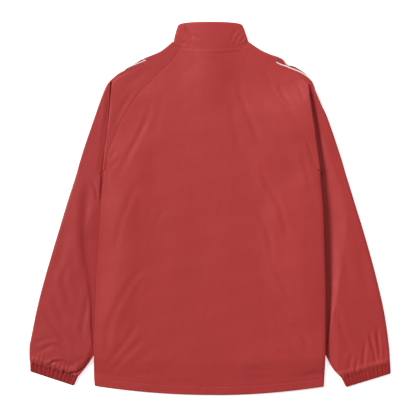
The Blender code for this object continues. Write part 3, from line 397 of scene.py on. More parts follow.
# Beside the body, and above that beside the pleat, the sleeve's cloth goes down into a gap. At
# heights along the body: how wide the gap is and how high its floor.
GAPS = {
    "left": [(-315, 0.0, 11.4), (-257, 8.0, 9.8), (-192, 13.0, 9.2), (-140, 22.0, 8.9),
             (-66, 34.0, 8.4), (-34, 34.0, 11.0), (-10, 30.0, 12.2), (4, 6.0, 12.0),
             (20, 6.0, 10.2), (45, 6.0, 9.6), (80, 6.5, 9.4), (118, 6.0, 10.2), (150, 6.0, 11.0),
             (215, 4.5, 10.8), (234, 3.6, 8.0), (244, 4.0, 4.8), (262, 4.0, 4.6), (270, 0.0, 8.0)],
    "right": [(-335, 0.0, 2.4), (-300, 3.0, 2.2), (-247, 7.5, 2.0), (-171, 17.0, 2.0),
              (-95, 26.0, 2.0), (-33, 32.0, 2.0), (20, 31.0, 2.2), (49, 28.0, 2.6),
              (74, 24.0, 3.4), (92, 21.0, 4.4), (110, 18.0, 4.6), (165, 12.0, 4.6),
              (235, 6.5, 5.2), (262, 0.0, 8.0)],
}
GAP_RISE = {"left": (0.55, 0.65), "right": (0.5, 1.15)}   # where its far side starts and its span
GAP_RISE_Y = (20.0, 90.0)      # above this its far side starts nearer to the body
GAP_Y = (-345.0, 30.0)
GAP_END = 8.0
GAP_STARTS = ((-22.0, 12.0), (0.3, 2.0))   # from its edge outward, by the body and by the pleat
LEAST_GAP = 0.5
GAP_FALL = {"left": 0.09, "right": 0.0}   # its floor's slope down to the body
GAP_FALL_SHARE = 0.55
PLEAT_Y = (UNDERARM_Y - 8.0, 12.0)        # where the gap goes from the body's side to the pleat
STAND_OFF = 4.2           # of the left sleeve's back from its front
STAND_OFF_Y = ((-352.0, 40.0), (290.0, 25.0))
STAND_OFF_STEPS = ((0.65, 0.8, 2.0), (0.35, 2.0, 14.0))   # share, where it starts and its width
STAND_OFF_EDGE = 2.4
BACK_RISE = {             # of its sides, on a row's lift
    "left": ((-8.0, 0.0), (34.0, -0.3), (62.0, -0.9), (80.6, -1.6)),
    "right": ((-260.0, 0.0), (-170.0, 1.8), (-68.0, 2.8), (-8.0, 2.8), (34.0, 2.4), (60.0, 2.2),
              (79.0, 2.1)),
}
THIN_SIDE = (2.8, 80.0)   # how much lower the body's left edge is, and how far in from it
THIN_SIDE_LOW = (-360.0, 30.0)
THIN_SIDE_HIGH = (30.0, 90.0)   # above the underarm
THIN_SHARE = 0.55         # of it that the underside and the front take

# ---- Stitching, gathers and grids ----------------------------------------------------------------
HEM_STITCH = 18.5         # above the hem's edge
HEM_ROUND = (2.4, 1.1)    # over how far its edge rounds off, and how far down
HEM_SWELL = (0.1, 3.0)
NECK_STITCH = 7.0         # below the neck seam
GROOVE = 1.1              # width of a line of stitches pulled into the cloth
HEM_GROOVES = {"back": 0.4, "front": 0.6}
PUCKER = (0.1, 2.3, 2.0, 23.0, 4.0)   # height, pitch, its drift and that one's pitch, and reach
HEM_FADE = 4.0            # nothing is raised at an edge, and all of it this far in
NECK_FADE = 6.0
SIDE_FADE = 3.0
SLEEVE_FADES = {"edge": 7.0, "gathers": 5.0, "pad": 4.0, "swell": 12.0, "body": 12.0, "seam": 6.0}
SEAM_SHARE = 0.25         # of the creases that is left at the raglan seam
COLLAR_FADE = 4.0
COLLAR_RIPPLES = (0.35, 1.7)   # of the undulation: its share, and how much closer
DENT_FADE = 12.0
STITCH = (2.5, 3.4)       # length and pitch
STITCH_END = 3.0
STITCH_FORM = ((0.0, 0.15), (0.2, 0.9), (0.8, 0.9), (1.0, 0.15))   # along it, and its thickness
STITCH_SUNK = 0.12
THREAD = (0.55, 0.35)     # width and height
RIB_PITCH = 8.4           # of the gathers in a cuff
RIB_DEPTH = 2.1
RIB_SEEDS = {"left": 3, "right": 8}
RIB_MARGIN = 3.0          # at either end of the cuff
RIB_RANGES = ((0.55, 1.0), (6.0, 20.0), (0.62, 1.3))   # of depth, run up the sleeve and pitch
RIB_WANDER = (0.8, 3.0)   # how far it goes to and fro across the cuff, and how often
RIB_BEAT = (0.25, 6.0)    # how much its depth varies, and how often
GATHER = (1.9, 0.35, 1.5, 6.0)   # spread, how much is pushed up between, depth and reach
SWELL = (1.7, 9.0)        # of the sleeve above its cuff
RUFFLE_SEED = 5
RUFFLE_WAVES = (4, (7.0, 19.0))   # how many, and their lengths
RUFFLE = (0.45, 0.5)
RUFFLE_REACH = 16.0
RUFFLE_DROP = (0.9, 3.0)
BACK_DEPTH = (0.58, 0.12, 60.0)   # of its creases: in the middle, more to the right, over this
SLEEVE_DEPTH = (0.85, 0.8)   # of its creases, and of its undulation
CLEAR = (0.5, 4.0)        # beside the body's edge, and above the underarm
DENT_SHARE = {"body": 0.8, "sleeve": 0.7}   # of the back's creases that the front shows
DENT_MOST = (1.3, 1.2)    # by a crease, and by a gather
EDGE_GRIDS = [0.8, 1.0, 2.0]
HEM_GRID = 1.3
NECK_GRIDS = [1.5, 0.9]
BODY_GRID = 3.3
SLEEVE_GRID = (2.3, 3.2)  # across and along
SLEEVE_SEAM_GRIDS = [1.0, 0.7, 1.0]
SLEEVE_EDGE_GRIDS = [1.6, 0.7]
SLEEVE_END_GRIDS = (0.9, 1.7)
PLEAT_GRID = 1.6
FRONT_GRIDS = (3.0, 1.2, 4.0, 2.2)   # across and at the edge, along and at the cuff
ROLL_MARGIN = 6           # columns on either side of the pleat that go with its fold
ROLL_STEP = 0.02          # columns closer than this across the sleeve are in the fold
HEAD_STEPS = ((0.7, 0.1), (2.0, 0.3), (8.0, 0.65))   # and the most of the way to the pleat
OPEN_HEAD = (0.0, 0.5, 1.0, 2.0)
TAIL = (7.0, 0.4)         # the columns by the edge: their width, and the most of the room there
TAIL_STEPS = (0.3, 0.08, 0.0)
UNDERARM_STEPS = [0.0, 0.6, 4.0, 12.0]   # the front half's first columns
SEWN_STEPS = (0.0, 2.0, 8.0, 15.0)
SEWN_FULL = 0.03          # of its length; a shorter row has them closer
FRONT_TAIL = (7.0, 0.02, 0.5, 0.7)   # width, the same, and the columns before and inside it
FLAP_INSETS = ((6.0, 5.0), (1.0, 1.5), (2.0, 5.0))   # for its full lift, any lift, and its hinge
FRONT_FLOOR = LEAST_WALL + 0.2
SEAM_ALLOWANCE = (1.8, 0.9, 0.15)   # how far in it reaches and how far down, underneath and on top
OPEN_EDGE = (0.05, 0.0, 0.1)        # the same where nothing is sewn to it


# ---- Small functions -----------------------------------------------------------------------------
def smooth(value):
    """From 0 to 1, with no slope at either end."""
    value = np.clip(value, 0.0, 1.0)
    return value * value * (3.0 - 2.0 * value)


def lerp(a, b, t):
    return a + (b - a) * t


def between(value, low, high):
    """1 between two places and 0 beyond them; each is a place and the width it fades over."""
    return smooth((value - low[0]) / low[1]) * smooth((high[0] - value) / high[1])


def neck_lift(x, y, most):
    """How much higher the cloth lies near the neck, where the collar is under it."""
    low, high = NECK_LIFT_Y
    return most * smooth(1.0 - np.abs(x) / NECK_LIFT_X) * smooth((y - low) / (high - low))


def fold_height(x, y):
    """How high the broad folds of the back stand at a place."""
    total = 0.0
    for fold in BACK_FOLDS:
        along = Vector((fold.x1 - fold.x0, fold.y1 - fold.y0))
        to_point = Vector((x - fold.x0, y - fold.y0))
        t = min(1.0, max(0.0, to_point.dot(along) / along.length_squared))
        away = (to_point - along * t).length
        ends = smooth(4.0 * t) * smooth(4.0 * (1.0 - t))
        total = max(total, fold.height * smooth(1.0 - away / fold.width) * ends)
    return total


def padded(distance):
    """The cloth's thickness at a distance from its seam, where it rolls down into the seam."""
    lip = max(0.0, 1.0 - distance / SEAM_LIP)
    full = lerp(SEAM_TOP, WALL, sin(min(1.0, distance / SEAM_REACH) * pi / 2))
    return full - SEAM_DROP * (1.0 - (1.0 - lip * lip) ** 0.5)


def rounded(distance, reach=EDGE_REACH):
    """The cloth's thickness at a distance from a folded edge."""
    return lerp(EDGE_WALL, WALL, min(1.0, distance / reach) ** 0.5)


def curve_through(points, steps=8):
    """A smooth open line through points, as more points."""
    points = np.array(points, float)
    padded_points = np.vstack([2 * points[0] - points[1], points, 2 * points[-1] - points[-2]])
    line = []
    for i in range(1, len(points)):
        a, b, c, d = padded_points[i - 1:i + 3]
        for t in np.arange(steps) / steps:
            line.append(0.5 * (2 * b + (c - a) * t + (2 * a - 5 * b + 4 * c - d) * t * t
                               + (3 * b - a - 3 * c + d) * t ** 3))
    line.append(points[-1])
    return np.array(line)


def travelled(line):
    """How far along a line each of its points is."""
    return np.concatenate([[0.0], np.cumsum(np.linalg.norm(np.diff(line, axis=0), axis=1))])


def crease_height(creases, x, y):
    """The height that a list of creases adds at each point of two arrays."""
    total = np.zeros_like(x)
    rim, rim_place, rim_spread = CREASE_RIM
    for crease in creases:
        line = curve_through(crease.points)
        reach = CREASE_REACH * crease.width
        low, high = line.min(axis=0) - reach, line.max(axis=0) + reach
        near = (x > low[0]) & (x < high[0]) & (y > low[1]) & (y < high[1])
        if not near.any():
            continue
        spot = np.column_stack([x[near], y[near]])
        best = np.full(len(spot), 1e9)
        side, along = np.zeros(len(spot)), np.zeros(len(spot))
        starts = travelled(line)
        for i, length in enumerate(np.diff(starts)):
            way = (line[i + 1] - line[i]) / length
            t = np.clip((spot - line[i]) @ way, 0.0, length)
            off = spot - line[i] - t[:, None] * way
            far = np.linalg.norm(off, axis=1)
            closer = far < best
            best[closer] = far[closer]
            side[closer] = np.sign(way[0] * off[:, 1] - way[1] * off[:, 0])[closer]
            along[closer] = starts[i] + t[closer]
        share = along / starts[-1]
        fade = between(share, (0.0, CREASE_FADE), (1.0, CREASE_FADE))
        u = best * side / crease.width
        shape = -np.exp(-u * u)
        for way in (1, -1):
            pushed = np.exp(-((u - way * rim_place) ** 2) / rim_spread)
            shape += rim * (1.0 + way * crease.lean) * pushed
        total[near] += crease.depth * fade * shape
    return total


WAVES = random.Random(11)
WAVE_KINDS = ((9, 0.11, (45, 150)), (8, 0.016, (14, 30)))   # how many, their height and lengths
RIPPLES = [(height, WAVES.uniform(0.0, 2 * pi), WAVES.uniform(*lengths), WAVES.uniform(0.0, 2 * pi))
           for count, height, lengths in WAVE_KINDS for _ in range(count)]


def undulation(x, y):
    """The soft unevenness of cloth that has been worn and laid down by hand."""
    total = np.zeros_like(x)
    for height, turn, length, phase in RIPPLES:
        across = x * cos(turn) + y * sin(turn)
        total += height * np.sin(2 * pi * across / length + phase)
    return total


# ---- Grids ---------------------------------------------------------------------------------------
def finer(points, knots, counts):
    """Grids (rows, columns, 3) with more columns, on monotone curves through the given ones."""
    h = np.maximum(np.diff(knots, axis=1), 1e-6)[..., None]
    rate = np.diff(points, axis=1) / h
    slope = np.empty_like(points)
    slope[:, 0], slope[:, -1] = rate[:, 0], rate[:, -1]
    before, after = rate[:, :-1], rate[:, 1:]
    w1, w2 = 2 * h[:, 1:] + h[:, :-1], h[:, 1:] + 2 * h[:, :-1]
    same = before * after > 0
    safe_before, safe_after = np.where(same, before, 1.0), np.where(same, after, 1.0)
    slope[:, 1:-1] = np.where(same, (w1 + w2) / (w1 / safe_before + w2 / safe_after), 0.0)
    parts = []
    for i, count in enumerate(counts):
        t = (np.arange(count) / count)[None, :, None]
        a, b, step = points[:, i:i + 1], points[:, i + 1:i + 2], h[:, i:i + 1]
        rise, fall = step * slope[:, i:i + 1], step * slope[:, i + 1:i + 2]
        parts.append((2 * t ** 3 - 3 * t ** 2 + 1) * a + (t ** 3 - 2 * t ** 2 + t) * rise
                     + (3 * t ** 2 - 2 * t ** 3) * b + (t ** 3 - t ** 2) * fall)
    return np.concatenate(parts + [points[:, -1:]], axis=1)


def chords(layers):
    """Distances along each row of the middle of two layers."""
    middle = (layers[0] + layers[1]) / 2
    steps = np.linalg.norm(np.diff(middle, axis=1), axis=2)
    return np.concatenate([np.zeros((len(middle), 1)), np.cumsum(steps, axis=1)], axis=1)


def refined(layers, across, along):
    """Two layers with finer columns and rows. across and along are spacings, or lists of them."""
    for spacing in (across, along):
        knots = chords(layers)
        gaps = np.diff(knots, axis=1).max(axis=0)
        spacing = [spacing] * len(gaps) if np.isscalar(spacing) else spacing
        counts = [max(1, int(np.ceil(gap / want - 1e-6))) for gap, want in zip(gaps, spacing)]
        layers = [finer(layer, knots, counts).transpose(1, 0, 2) for layer in layers]
    return layers


def grids(*layers):
    """Rows of points as arrays (rows, columns, 3)."""
    return [np.array([[tuple(point) for point in row] for row in layer], float) for layer in layers]


def row_distance(layer, backwards=False):
    """Each point's distance along its column from the first row, or from the last."""
    steps = np.linalg.norm(np.diff(layer, axis=0), axis=2)
    reach = np.concatenate([np.zeros((1, layer.shape[1])), np.cumsum(steps, axis=0)])
    return reach[-1] - reach if backwards else reach


def keep_wall(under, over):
    """The top of a layer, raised where it comes too near to the underside."""
    return np.maximum(over[..., 2], under[..., 2] + LEAST_WALL)


# ---- Objects -------------------------------------------------------------------------------------
def place(name, data):
    """A new object in the scene."""
    obj = bpy.data.objects.new(name, data)
    bpy.context.scene.collection.objects.link(obj)
    return obj


def link(mesh, material, nodes=()):
    """A piece of the jacket, named as its mesh is."""
    obj = place(mesh.name, mesh)
    mesh.materials.append(material)
    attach(obj, BODY)
    if nodes:
        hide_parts(*nodes)


def mesh_from(name, points, faces, sharp=50):
    """A closed mesh from points in millimetres in the part's plan."""
    mesh = bpy.data.meshes.new(name)
    mesh.from_pydata((np.asarray(points) * MM + SHIFT).tolist(), [], faces)
    work = bmesh.new()
    work.from_mesh(mesh)
    bmesh.ops.recalc_face_normals(work, faces=work.faces)
    work.to_mesh(mesh)
    work.free()
    mesh.shade_smooth()
    mesh.set_sharp_from_angle(angle=radians(sharp))
    return mesh


def shell_mesh(name, under, over):
    """A closed shell between two fine grids."""
    rows, columns = under.shape[:2]
    points = np.concatenate([under.reshape(-1, 3), over.reshape(-1, 3)])
    top = rows * columns
    index = np.arange(top).reshape(rows, columns)
    quads = np.stack([index[:-1, :-1], index[:-1, 1:], index[1:, 1:], index[1:, :-1]], axis=-1)
    quads = quads.reshape(-1, 4)
    rim = np.concatenate([index[0, :], index[1:, -1], index[-1, -2::-1], index[-2:0:-1, 0]])
    after = np.roll(rim, -1)
    sides = np.stack([rim, after, after + top, rim + top], axis=-1)
    return mesh_from(name, points, np.concatenate([quads, quads + top, sides]).tolist())


def make_cloth(node, under, over, material):
    link(shell_mesh(node + "_cloth", under, over), material, [node])


def tube_faces(base, rings, sides):
    """The faces of a closed tube whose rings of points start at base."""
    faces = []
    for ring in range(base, base + (rings - 1) * sides, sides):
        for k in range(sides):
            after = (k + 1) % sides
            faces.append([ring + k, ring + after, ring + sides + after, ring + sides + k])
    last = base + (rings - 1) * sides
    return faces + [list(range(base, base + sides)), list(range(last, last + sides))]


# ---- Materials -----------------------------------------------------------------------------------
class Nodes:
    """A material's node tree, built one node at a time."""

    def __init__(self, name):
        self.material = bpy.data.materials.new(name)
        self.material.use_nodes = True
        self.tree = self.material.node_tree
        self.coordinates = self.tree.nodes.new("ShaderNodeTexCoord").outputs["Object"]

    def feed(self, socket, value):
        """Links an input to another node's output, or sets the input's own value."""
        if isinstance(value, bpy.types.NodeSocket):
            self.tree.links.new(value, socket)
        else:
            socket.default_value = value

    def add(self, kind, output, inputs, **settings):
        node = self.tree.nodes.new("ShaderNode" + kind)
        for key, value in settings.items():
            setattr(node, key, value)
        for place, value in inputs.items():
            self.feed(node.inputs[place], value)
        return node.outputs[output]

    def math(self, operation, first, second):
        return self.add("Math", 0, {0: first, 1: second}, operation=operation)

    def turned(self, angle=0.0, scale=(1.0, 1.0, 1.0)):
        """Object coordinates turned about Z and scaled."""
        return self.add("Mapping", "Vector", {"Vector": self.coordinates, "Scale": scale,
                                              "Rotation": (0.0, 0.0, radians(angle))})

    def noise(self, vector, scale, detail=2.0):
        return self.add("TexNoise", "Fac", {"Vector": vector, "Scale": scale, "Detail": detail})

    def wave(self, vector, scale, direction="X"):
        return self.add("TexWave", "Fac", {"Vector": vector, "Scale": scale},
                        bands_direction=direction)

    def ramp(self, factor, *stops):
        """A ramp between two stops, each a place and a colour or a grey."""
        node = self.tree.nodes.new("ShaderNodeValToRGB")
        self.feed(node.inputs["Fac"], factor)
        for element, (place, colour) in zip(node.color_ramp.elements, stops):
            element.position = place
            element.color = (*((colour,) * 3 if isinstance(colour, float) else colour), 1.0)
        return node.outputs["Color"]

    def times(self, first, second):
        return self.add("Mix", 2, {0: 1.0, 6: first, 7: second},
                        data_type="RGBA", blend_type="MULTIPLY")

    def finish(self, colour, roughness, height, distance, **values):
        """Feeds the shader; height is bumped over a distance in metres."""
        normal = self.add("Bump", "Normal",
                          {"Height": height, "Distance": distance, "Strength": 1.0})
        inputs = self.tree.nodes["Principled BSDF"].inputs
        for place, value in (("Base Color", colour), ("Roughness", roughness), ("Normal", normal)):
            self.feed(inputs[place], value)
        for key, value in values.items():
            inputs[key.replace("_", " ")].default_value = value
        return self.material


def shade(colour, by):
    """A colour made lighter or darker."""
    return tuple(part * by for part in colour)


def woven(name, colour, angle, thread=0.0004, relief=0.00004, gloss=0.32):
    """Close plain-woven polyester: crossing threads, uneven dye and a dull sheen."""
    nodes = Nodes(name)
    turned = nodes.turned(angle)
    # Threads run both ways; a wave's scale is its count per 2*pi/10 metres or so.
    count = 1.0 / thread / (10.0 / pi)
    check = nodes.math("MULTIPLY", nodes.wave(turned, count, "X"), nodes.wave(turned, count, "Y"))
    slub = nodes.noise(nodes.turned(angle, (1.0, 14.0, 1.0)), 260.0)
    dye = nodes.noise(turned, 9.0, 3.0)
    base = nodes.ramp(dye, (0.3, shade(colour, 0.975)), (0.7, shade(colour, 1.025)))
    base = nodes.times(base, nodes.ramp(check, (0.0, 0.92), (0.5, 1.0)))
    base = nodes.times(base, nodes.ramp(slub, (0.35, 0.95), (0.6, 1.0)))
    rough = nodes.ramp(nodes.noise(turned, 60.0), (0.3, 0.5), (0.7, 0.66))
    height = nodes.math("ADD", check, nodes.math("MULTIPLY", slub, 0.6))
    return nodes.finish(base, rough, height, relief, Specular_IOR_Level=gloss,
                        Sheen_Weight=0.19 * gloss, Sheen_Roughness=0.4)


def piping_cloth():
    """A white cord covered in bias-cut satin, with a faint twist."""
    nodes = Nodes("piping_cord")
    twist = nodes.wave(nodes.turned(45.0), 420.0)
    soil = nodes.noise(nodes.turned(), 25.0, 3.0)
    base = nodes.ramp(soil, (0.3, (0.78, 0.765, 0.74)), (0.7, (0.86, 0.85, 0.83)))
    base = nodes.times(base, nodes.ramp(twist, (0.0, 0.9), (0.5, 1.0)))
    rough = nodes.ramp(soil, (0.3, 0.36), (0.7, 0.5))
    return nodes.finish(base, rough, twist, 0.00008, Specular_IOR_Level=0.4)


def tape_cloth():
    """Herringbone zip tape."""
    nodes = Nodes("zip_tape_cloth")
    twills = [nodes.wave(nodes.turned(turn), 300.0) for turn in (60.0, -60.0)]
    weave = nodes.math("MAXIMUM", *twills)
    base = nodes.ramp(weave, (0.2, (0.17, 0.014, 0.015)), (0.9, (0.27, 0.024, 0.026)))
    rough = nodes.ramp(weave, (0.2, 0.8), (0.9, 0.68))
    return nodes.finish(base, rough, weave, 0.0001, Specular_IOR_Level=0.25)


def tooth_plastic():
    """Moulded zip teeth, slightly scuffed."""
    nodes = Nodes("zip_tooth_plastic")
    scuff = nodes.noise(nodes.turned(), 300.0, 3.0)
    base = nodes.ramp(scuff, (0.3, (0.20, 0.018, 0.020)), (0.7, (0.27, 0.028, 0.030)))
    return nodes.finish(base, nodes.ramp(scuff, (0.3, 0.32), (0.7, 0.48)), scuff, 0.00003)


def slider_steel():
    """Brushed zinc alloy with fine scratches."""
    nodes = Nodes("slider_steel")
    brushed = nodes.noise(nodes.turned(0.0, (1.0, 0.06, 1.0)), 2500.0)
    patch = nodes.noise(nodes.turned(), 220.0, 3.0)
    base = nodes.ramp(patch, (0.3, (0.47, 0.47, 0.48)), (0.7, (0.62, 0.62, 0.63)))
    rough = nodes.ramp(brushed, (0.3, 0.22), (0.7, 0.38))
    return nodes.finish(base, rough, brushed, 0.00002, Metallic=1.0)


SHELL = (0.40, 0.030, 0.029)
SHADED_SHELL_LEFT = (0.375, 0.028, 0.027)   # painted shade: a darker copy of the shell, so the left sleeve looks less lit
SHELL_CLOTH = {name: woven("shell_" + name, colour, angle) for name, colour, angle in
               (("body", SHELL, 0.0), ("left", SHADED_SHELL_LEFT, -18.0), ("right", SHELL, 18.0),
                ("collar", SHELL, 2.0))}
# The left cuff's colour is darker than the right's: painted shade, as on the left sleeve.
CUFF_CLOTH = {side: woven("cuff_cloth_" + side, colour, angle, 0.0006, 0.00008, gloss=0.1)
              for side, colour, angle in (("left", (0.29, 0.022, 0.022), -17.0),
                                          ("right", (0.33, 0.024, 0.024), 15.0))}
THREAD_CLOTH = woven("thread", (0.33, 0.022, 0.022), 40.0)
PIPING_CLOTH = piping_cloth()
TAPE_CLOTH = tape_cloth()
TOOTH_PLASTIC = tooth_plastic()
STEEL = slider_steel()

# ---- Body ----------------------------------------------------------------------------------------
BodyLine = namedtuple("BodyLine", "sides sag back_lifts front_lifts overlap is_fold")
Spot = namedtuple("Spot", "x y lift wall to_middle")


def body_lines():
    """The rows of the back and the fronts, from the hem up to the neck."""
    lines = []
    for row in BODY_ROWS:
        raised = [row.lift + float(np.interp(y, *zip(*BACK_RISE[side])))
                  for side, y in zip(SIDES, (row.ly, row.ry))]
        lines.append(BodyLine(((row.lx, row.ly), (row.rx, row.ry)), row.sag, raised,
                              [min(row.lift, lift) for lift in raised], row.overlap, True))
    for index in range(UNDERARM, -1, -1):
        left, right = SLEEVE_ROWS["left"][index], SLEEVE_ROWS["right"][index]
        sides = ((left.sx + GAP / 2, left.sy), (right.sx - GAP / 2, right.sy))
        sag = NECK_SAG[index] if index < len(NECK_SAG) else 0.0
        front_lift = UNDERARM_LIFT if index == UNDERARM else 0.0
        raised = (left.rise, right.rise)
        lines.append(BodyLine(sides, sag, raised, [min(front_lift, lift) for lift in raised],
                              0.0, False))
    return lines


BODY_LINES = body_lines()


def body_side(side, y):
    """How far out the body's side is at each height."""
    which = SIDES.index(side)
    x, places = zip(*(line.sides[which] for line in BODY_LINES[:len(BODY_ROWS) + 1]))
    return np.abs(np.interp(y, places, x))


def half_row(line, side, middle, lift, sag, inner_steps, stand_off=0.0):
    """A row of the body from its side to its middle."""
    side, middle = Vector(side), Vector(middle)
    length = (middle - side).length
    full = max(LEAST_RAISED, line.overlap + SIDE_CLEAR)
    steps = [*SIDE_STEPS, full, full + SIDE_RAMP / 2, full + SIDE_RAMP]
    scale = min(1.0, SIDE_SHARE * length / steps[-1])
    steps = [step * scale for step in steps]
    last = steps[-1]
    steps += [lerp(last, length - inner_steps[-1], k / INNER_COLUMNS)
              for k in range(1, INNER_COLUMNS)]
    steps += [length - step for step in reversed(inner_steps)]
    shares = list(RAMP_SHARES) + [0.0] * (len(steps) - len(RAMP_SHARES))
    spots = []
    for share, step in zip(shares, steps):
        t = step / length
        x, y = side.lerp(middle, t)
        y -= sag * (1.0 - (1.0 - t) ** 2)
        raised = lift * share + stand_off * min(1.0, step / BELLY_REACH) * (1.0 - share)
        reach = CRISP_REACH if side.x < 0 else EDGE_REACH
        wall = rounded(step, reach) if line.is_fold else padded(step)
        spots.append(Spot(x, y, raised, wall, length - step))
    return spots


def groove(distance, at, depth=0.5):
    """A stitch line pulled into the cloth."""
    return -depth * np.exp(-((distance - at) / GROOVE) ** 2)


def body_grids(under, over, is_back):
    """A body panel's two layers, closest at its edges."""
    along = [HEM_GRID] + [BODY_GRID] * (len(under) - 2)
    across = [BODY_GRID] * (len(under[0]) - 1)
    if is_back:
        along[-2:] = NECK_GRIDS
        across[:3], across[-3:] = EDGE_GRIDS, EDGE_GRIDS[::-1]
    else:
        across[:2] = EDGE_GRIDS[:2]
    return refined(grids(under, over), across, along)


def round_hem(over, hem):
    """Rounds the turned hem over its lowest edge and draws in its stitch line."""
    reach, depth = HEM_ROUND
    near = np.clip(1.0 - hem / reach, 0.0, 1.0)
    over[..., 2] += groove(hem, HEM_STITCH, HEM_GROOVES["back"])
    over[..., 2] -= (1.0 - np.sqrt(1.0 - near ** 2)) * depth
    swell, width = HEM_SWELL
    over[..., 2] += swell * between(hem, (0.0, width), (HEM_STITCH, width))


def lowered_side(x, y):
    """How much lower the body lies at its left edge, and how far in from that edge."""
    inward = body_side("left", y[:, :1]) + x
    above, width = THIN_SIDE_HIGH
    beside_sleeve = between(y, THIN_SIDE_LOW, (SLEEVE_ROWS["left"][UNDERARM].sy + above, width))
    return THIN_SIDE[0] * (1.0 - smooth(inward / THIN_SIDE[1])) * beside_sleeve, inward


def make_back():
    """The back panel, which lies over the sleeves beside it."""
    under, over = [], []
    for line in BODY_LINES:
        middle = (0.0, (line.sides[0][1] + line.sides[1][1]) / 2)
        stand_off = BELLY * float(between(middle[1], *BELLY_Y))
        halves = [half_row(line, side, middle, lift, line.sag, [0.0], stand_off)
                  for side, lift in zip(line.sides, line.back_lifts)]
        most = {0: HEM_WALL, len(BODY_LINES) - 1: NECK_WALL}.get(len(under), WALL)
        low, high = [], []
        for spot in halves[0] + halves[1][-2::-1]:
            z = BACK_FLOOR + spot.lift + fold_height(spot.x, spot.y)
            z += neck_lift(spot.x, spot.y, NECK_LIFT_BACK)
            low.append((spot.x, spot.y, z))
            high.append((spot.x, spot.y, z + min(spot.wall, most)))
        under.append(low)
        over.append(high)
    for layer, drop in zip((under, over), TUCK_DROPS["back"]):
        layer.append([(x, y + TUCK, z - drop) for x, y, z in layer[-1]])
    under, over = body_grids(under, over, True)
    x, y = over[..., 0], over[..., 1]
    hem, neck = row_distance(over), row_distance(over, True) - NECK_SEAM
    middle, more, width = BACK_DEPTH
    height = (middle + more * np.tanh(x / width)) * crease_height(BACK_CREASES, x, y)
    height = (height + undulation(x, y)) * smooth(hem / HEM_FADE) * smooth(neck / NECK_FADE)
    pucker, pitch, drift, drift_pitch, width = PUCKER
    pucker *= np.sin(x / pitch + drift * np.sin(x / drift_pitch))
    height += pucker * np.exp(-((hem - HEM_STITCH) / width) ** 2)
    lower, inward = lowered_side(x, y)
    under[..., 2] -= THIN_SHARE * lower
    height -= lower * lerp(THIN_SHARE, 1.0, smooth(inward / SIDE_FADE))
    pad = NECK_PAD["back"] * np.exp(-(np.clip(neck, 0.0, None) / NECK_PAD_REACH) ** 2)
    over[..., 2] += height + pad
    round_hem(over, hem)
    over[..., 2] += groove(neck, NECK_STITCH)
    over[..., 2] = keep_wall(under, over)
    make_cloth("back_panel", under, over, SHELL_CLOTH["body"])
    make_stitches("back_stitching", [stitch_line(over, hem, HEM_STITCH),
                                     stitch_line(over, neck, NECK_STITCH)])


def make_front(side, sign):
    """A front, which lies flat on the floor."""
    name, which = "front_" + side, SIDES.index(side)
    under, over = [], []
    for from_neck, line in zip(range(len(BODY_LINES) - 1, -1, -1), BODY_LINES):
        edge = line.sides[which]
        at_neck = from_neck < len(NECKLINE)
        middle = Vector(NECKLINE[from_neck] if at_neck else (ZIP_HALF, edge[1]))
        middle.x *= sign
        inner = NECK_END_STEPS if from_neck < 2 else ZIP_STEPS
        low, high = [], []
        for spot in half_row(line, edge, middle, line.front_lifts[which],
                             0.0 if at_neck else line.sag, inner):
            top = SEAM_WALL if abs(spot.x) < ZIP_FLAT else WALL
            most = WALL if under else HEM_WALL
            wall = min(spot.wall, padded(spot.to_middle), top, most)
            z = spot.lift + neck_lift(spot.x, spot.y, NECK_LIFT)
            low.append((spot.x, spot.y, z + top - wall))
            high.append((spot.x, spot.y, z + top))
        under.append(low)
        over.append(high)
    under, over = body_grids(under, over, False)
    x, y = under[..., 0], under[..., 1]
    hem = row_distance(under)
    lower = THIN_SHARE * lowered_side(x, y)[0]
    under[..., 2] = np.maximum(under[..., 2] - lower, 0.0)
    over[..., 2] -= lower
    # The fronts' own creases: the back's, seen from the other side.
    dent = np.clip(-DENT_SHARE["body"] * crease_height(BACK_CREASES, -x, y), 0.0, DENT_MOST[0])
    under[..., 2] += dent * smooth((np.abs(x) - ZIP_BED) / DENT_FADE)
    under[..., 2] -= groove(hem, HEM_STITCH, HEM_GROOVES["front"])
    under[..., 2] = np.minimum(under[..., 2], over[..., 2] - LEAST_WALL)
    make_cloth(name, under, over, SHELL_CLOTH["body"])
    make_stitches(name + "_stitching", [stitch_line(under, hem, HEM_STITCH)], -1.0)


# ---- Stitches ------------------------------------------------------------------------------------
def stitch_line(layer, distance, at):
    """The points of a layer where its distance from an edge is at, one for each column."""
    line = []
    for column in range(layer.shape[1]):
        reach, points = distance[:, column], layer[:, column]
        if reach[0] > reach[-1]:
            reach, points = reach[::-1], points[::-1]
        line.append([np.interp(at, reach, points[:, i]) for i in range(3)])
    return np.array(line)


def make_stitches(name, lines, up=1.0):
    """Stitches of thread along lines on the cloth, raised where up is 1 and hanging where -1."""
    length, pitch = STITCH
    width, height = THREAD
    points, faces = [], []
    for line in lines:
        reach = travelled(line)

        def spot_at(distance):
            return np.array([np.interp(distance, reach, line[:, i]) for i in range(3)])

        for start in np.arange(STITCH_END, reach[-1] - STITCH_END - length, pitch):
            faces += tube_faces(len(points), len(STITCH_FORM), 4)
            for share, swell in STITCH_FORM:
                at = start + share * length
                spot = spot_at(at)
                ahead = spot_at(at + 0.5) - spot
                way = ahead / max(np.linalg.norm(ahead), 1e-9)
                out = np.array([-way[1], way[0], 0.0]) * width / 2 * swell
                for a in (0.0, pi / 3, 2 * pi / 3, pi):
                    raised = up * (height * swell * sin(a) - STITCH_SUNK)
                    points.append(spot + out * cos(a) + np.array([0.0, 0.0, raised]))
    link(mesh_from(name, points, faces), THREAD_CLOTH)


# ---- Sleeves -------------------------------------------------------------------------------------
# row is the table's, seam where it starts, way its direction, slant how squarely it meets the
# sleeve's edge, and ramp where the cloth's margin ends that lies under the body.
SleeveLine = namedtuple("SleeveLine", "row sewn is_end seam way length slant ramp")
AFTER_PIPING = {"left": 5, "right": 6}
LEAST_SLANT = 0.5


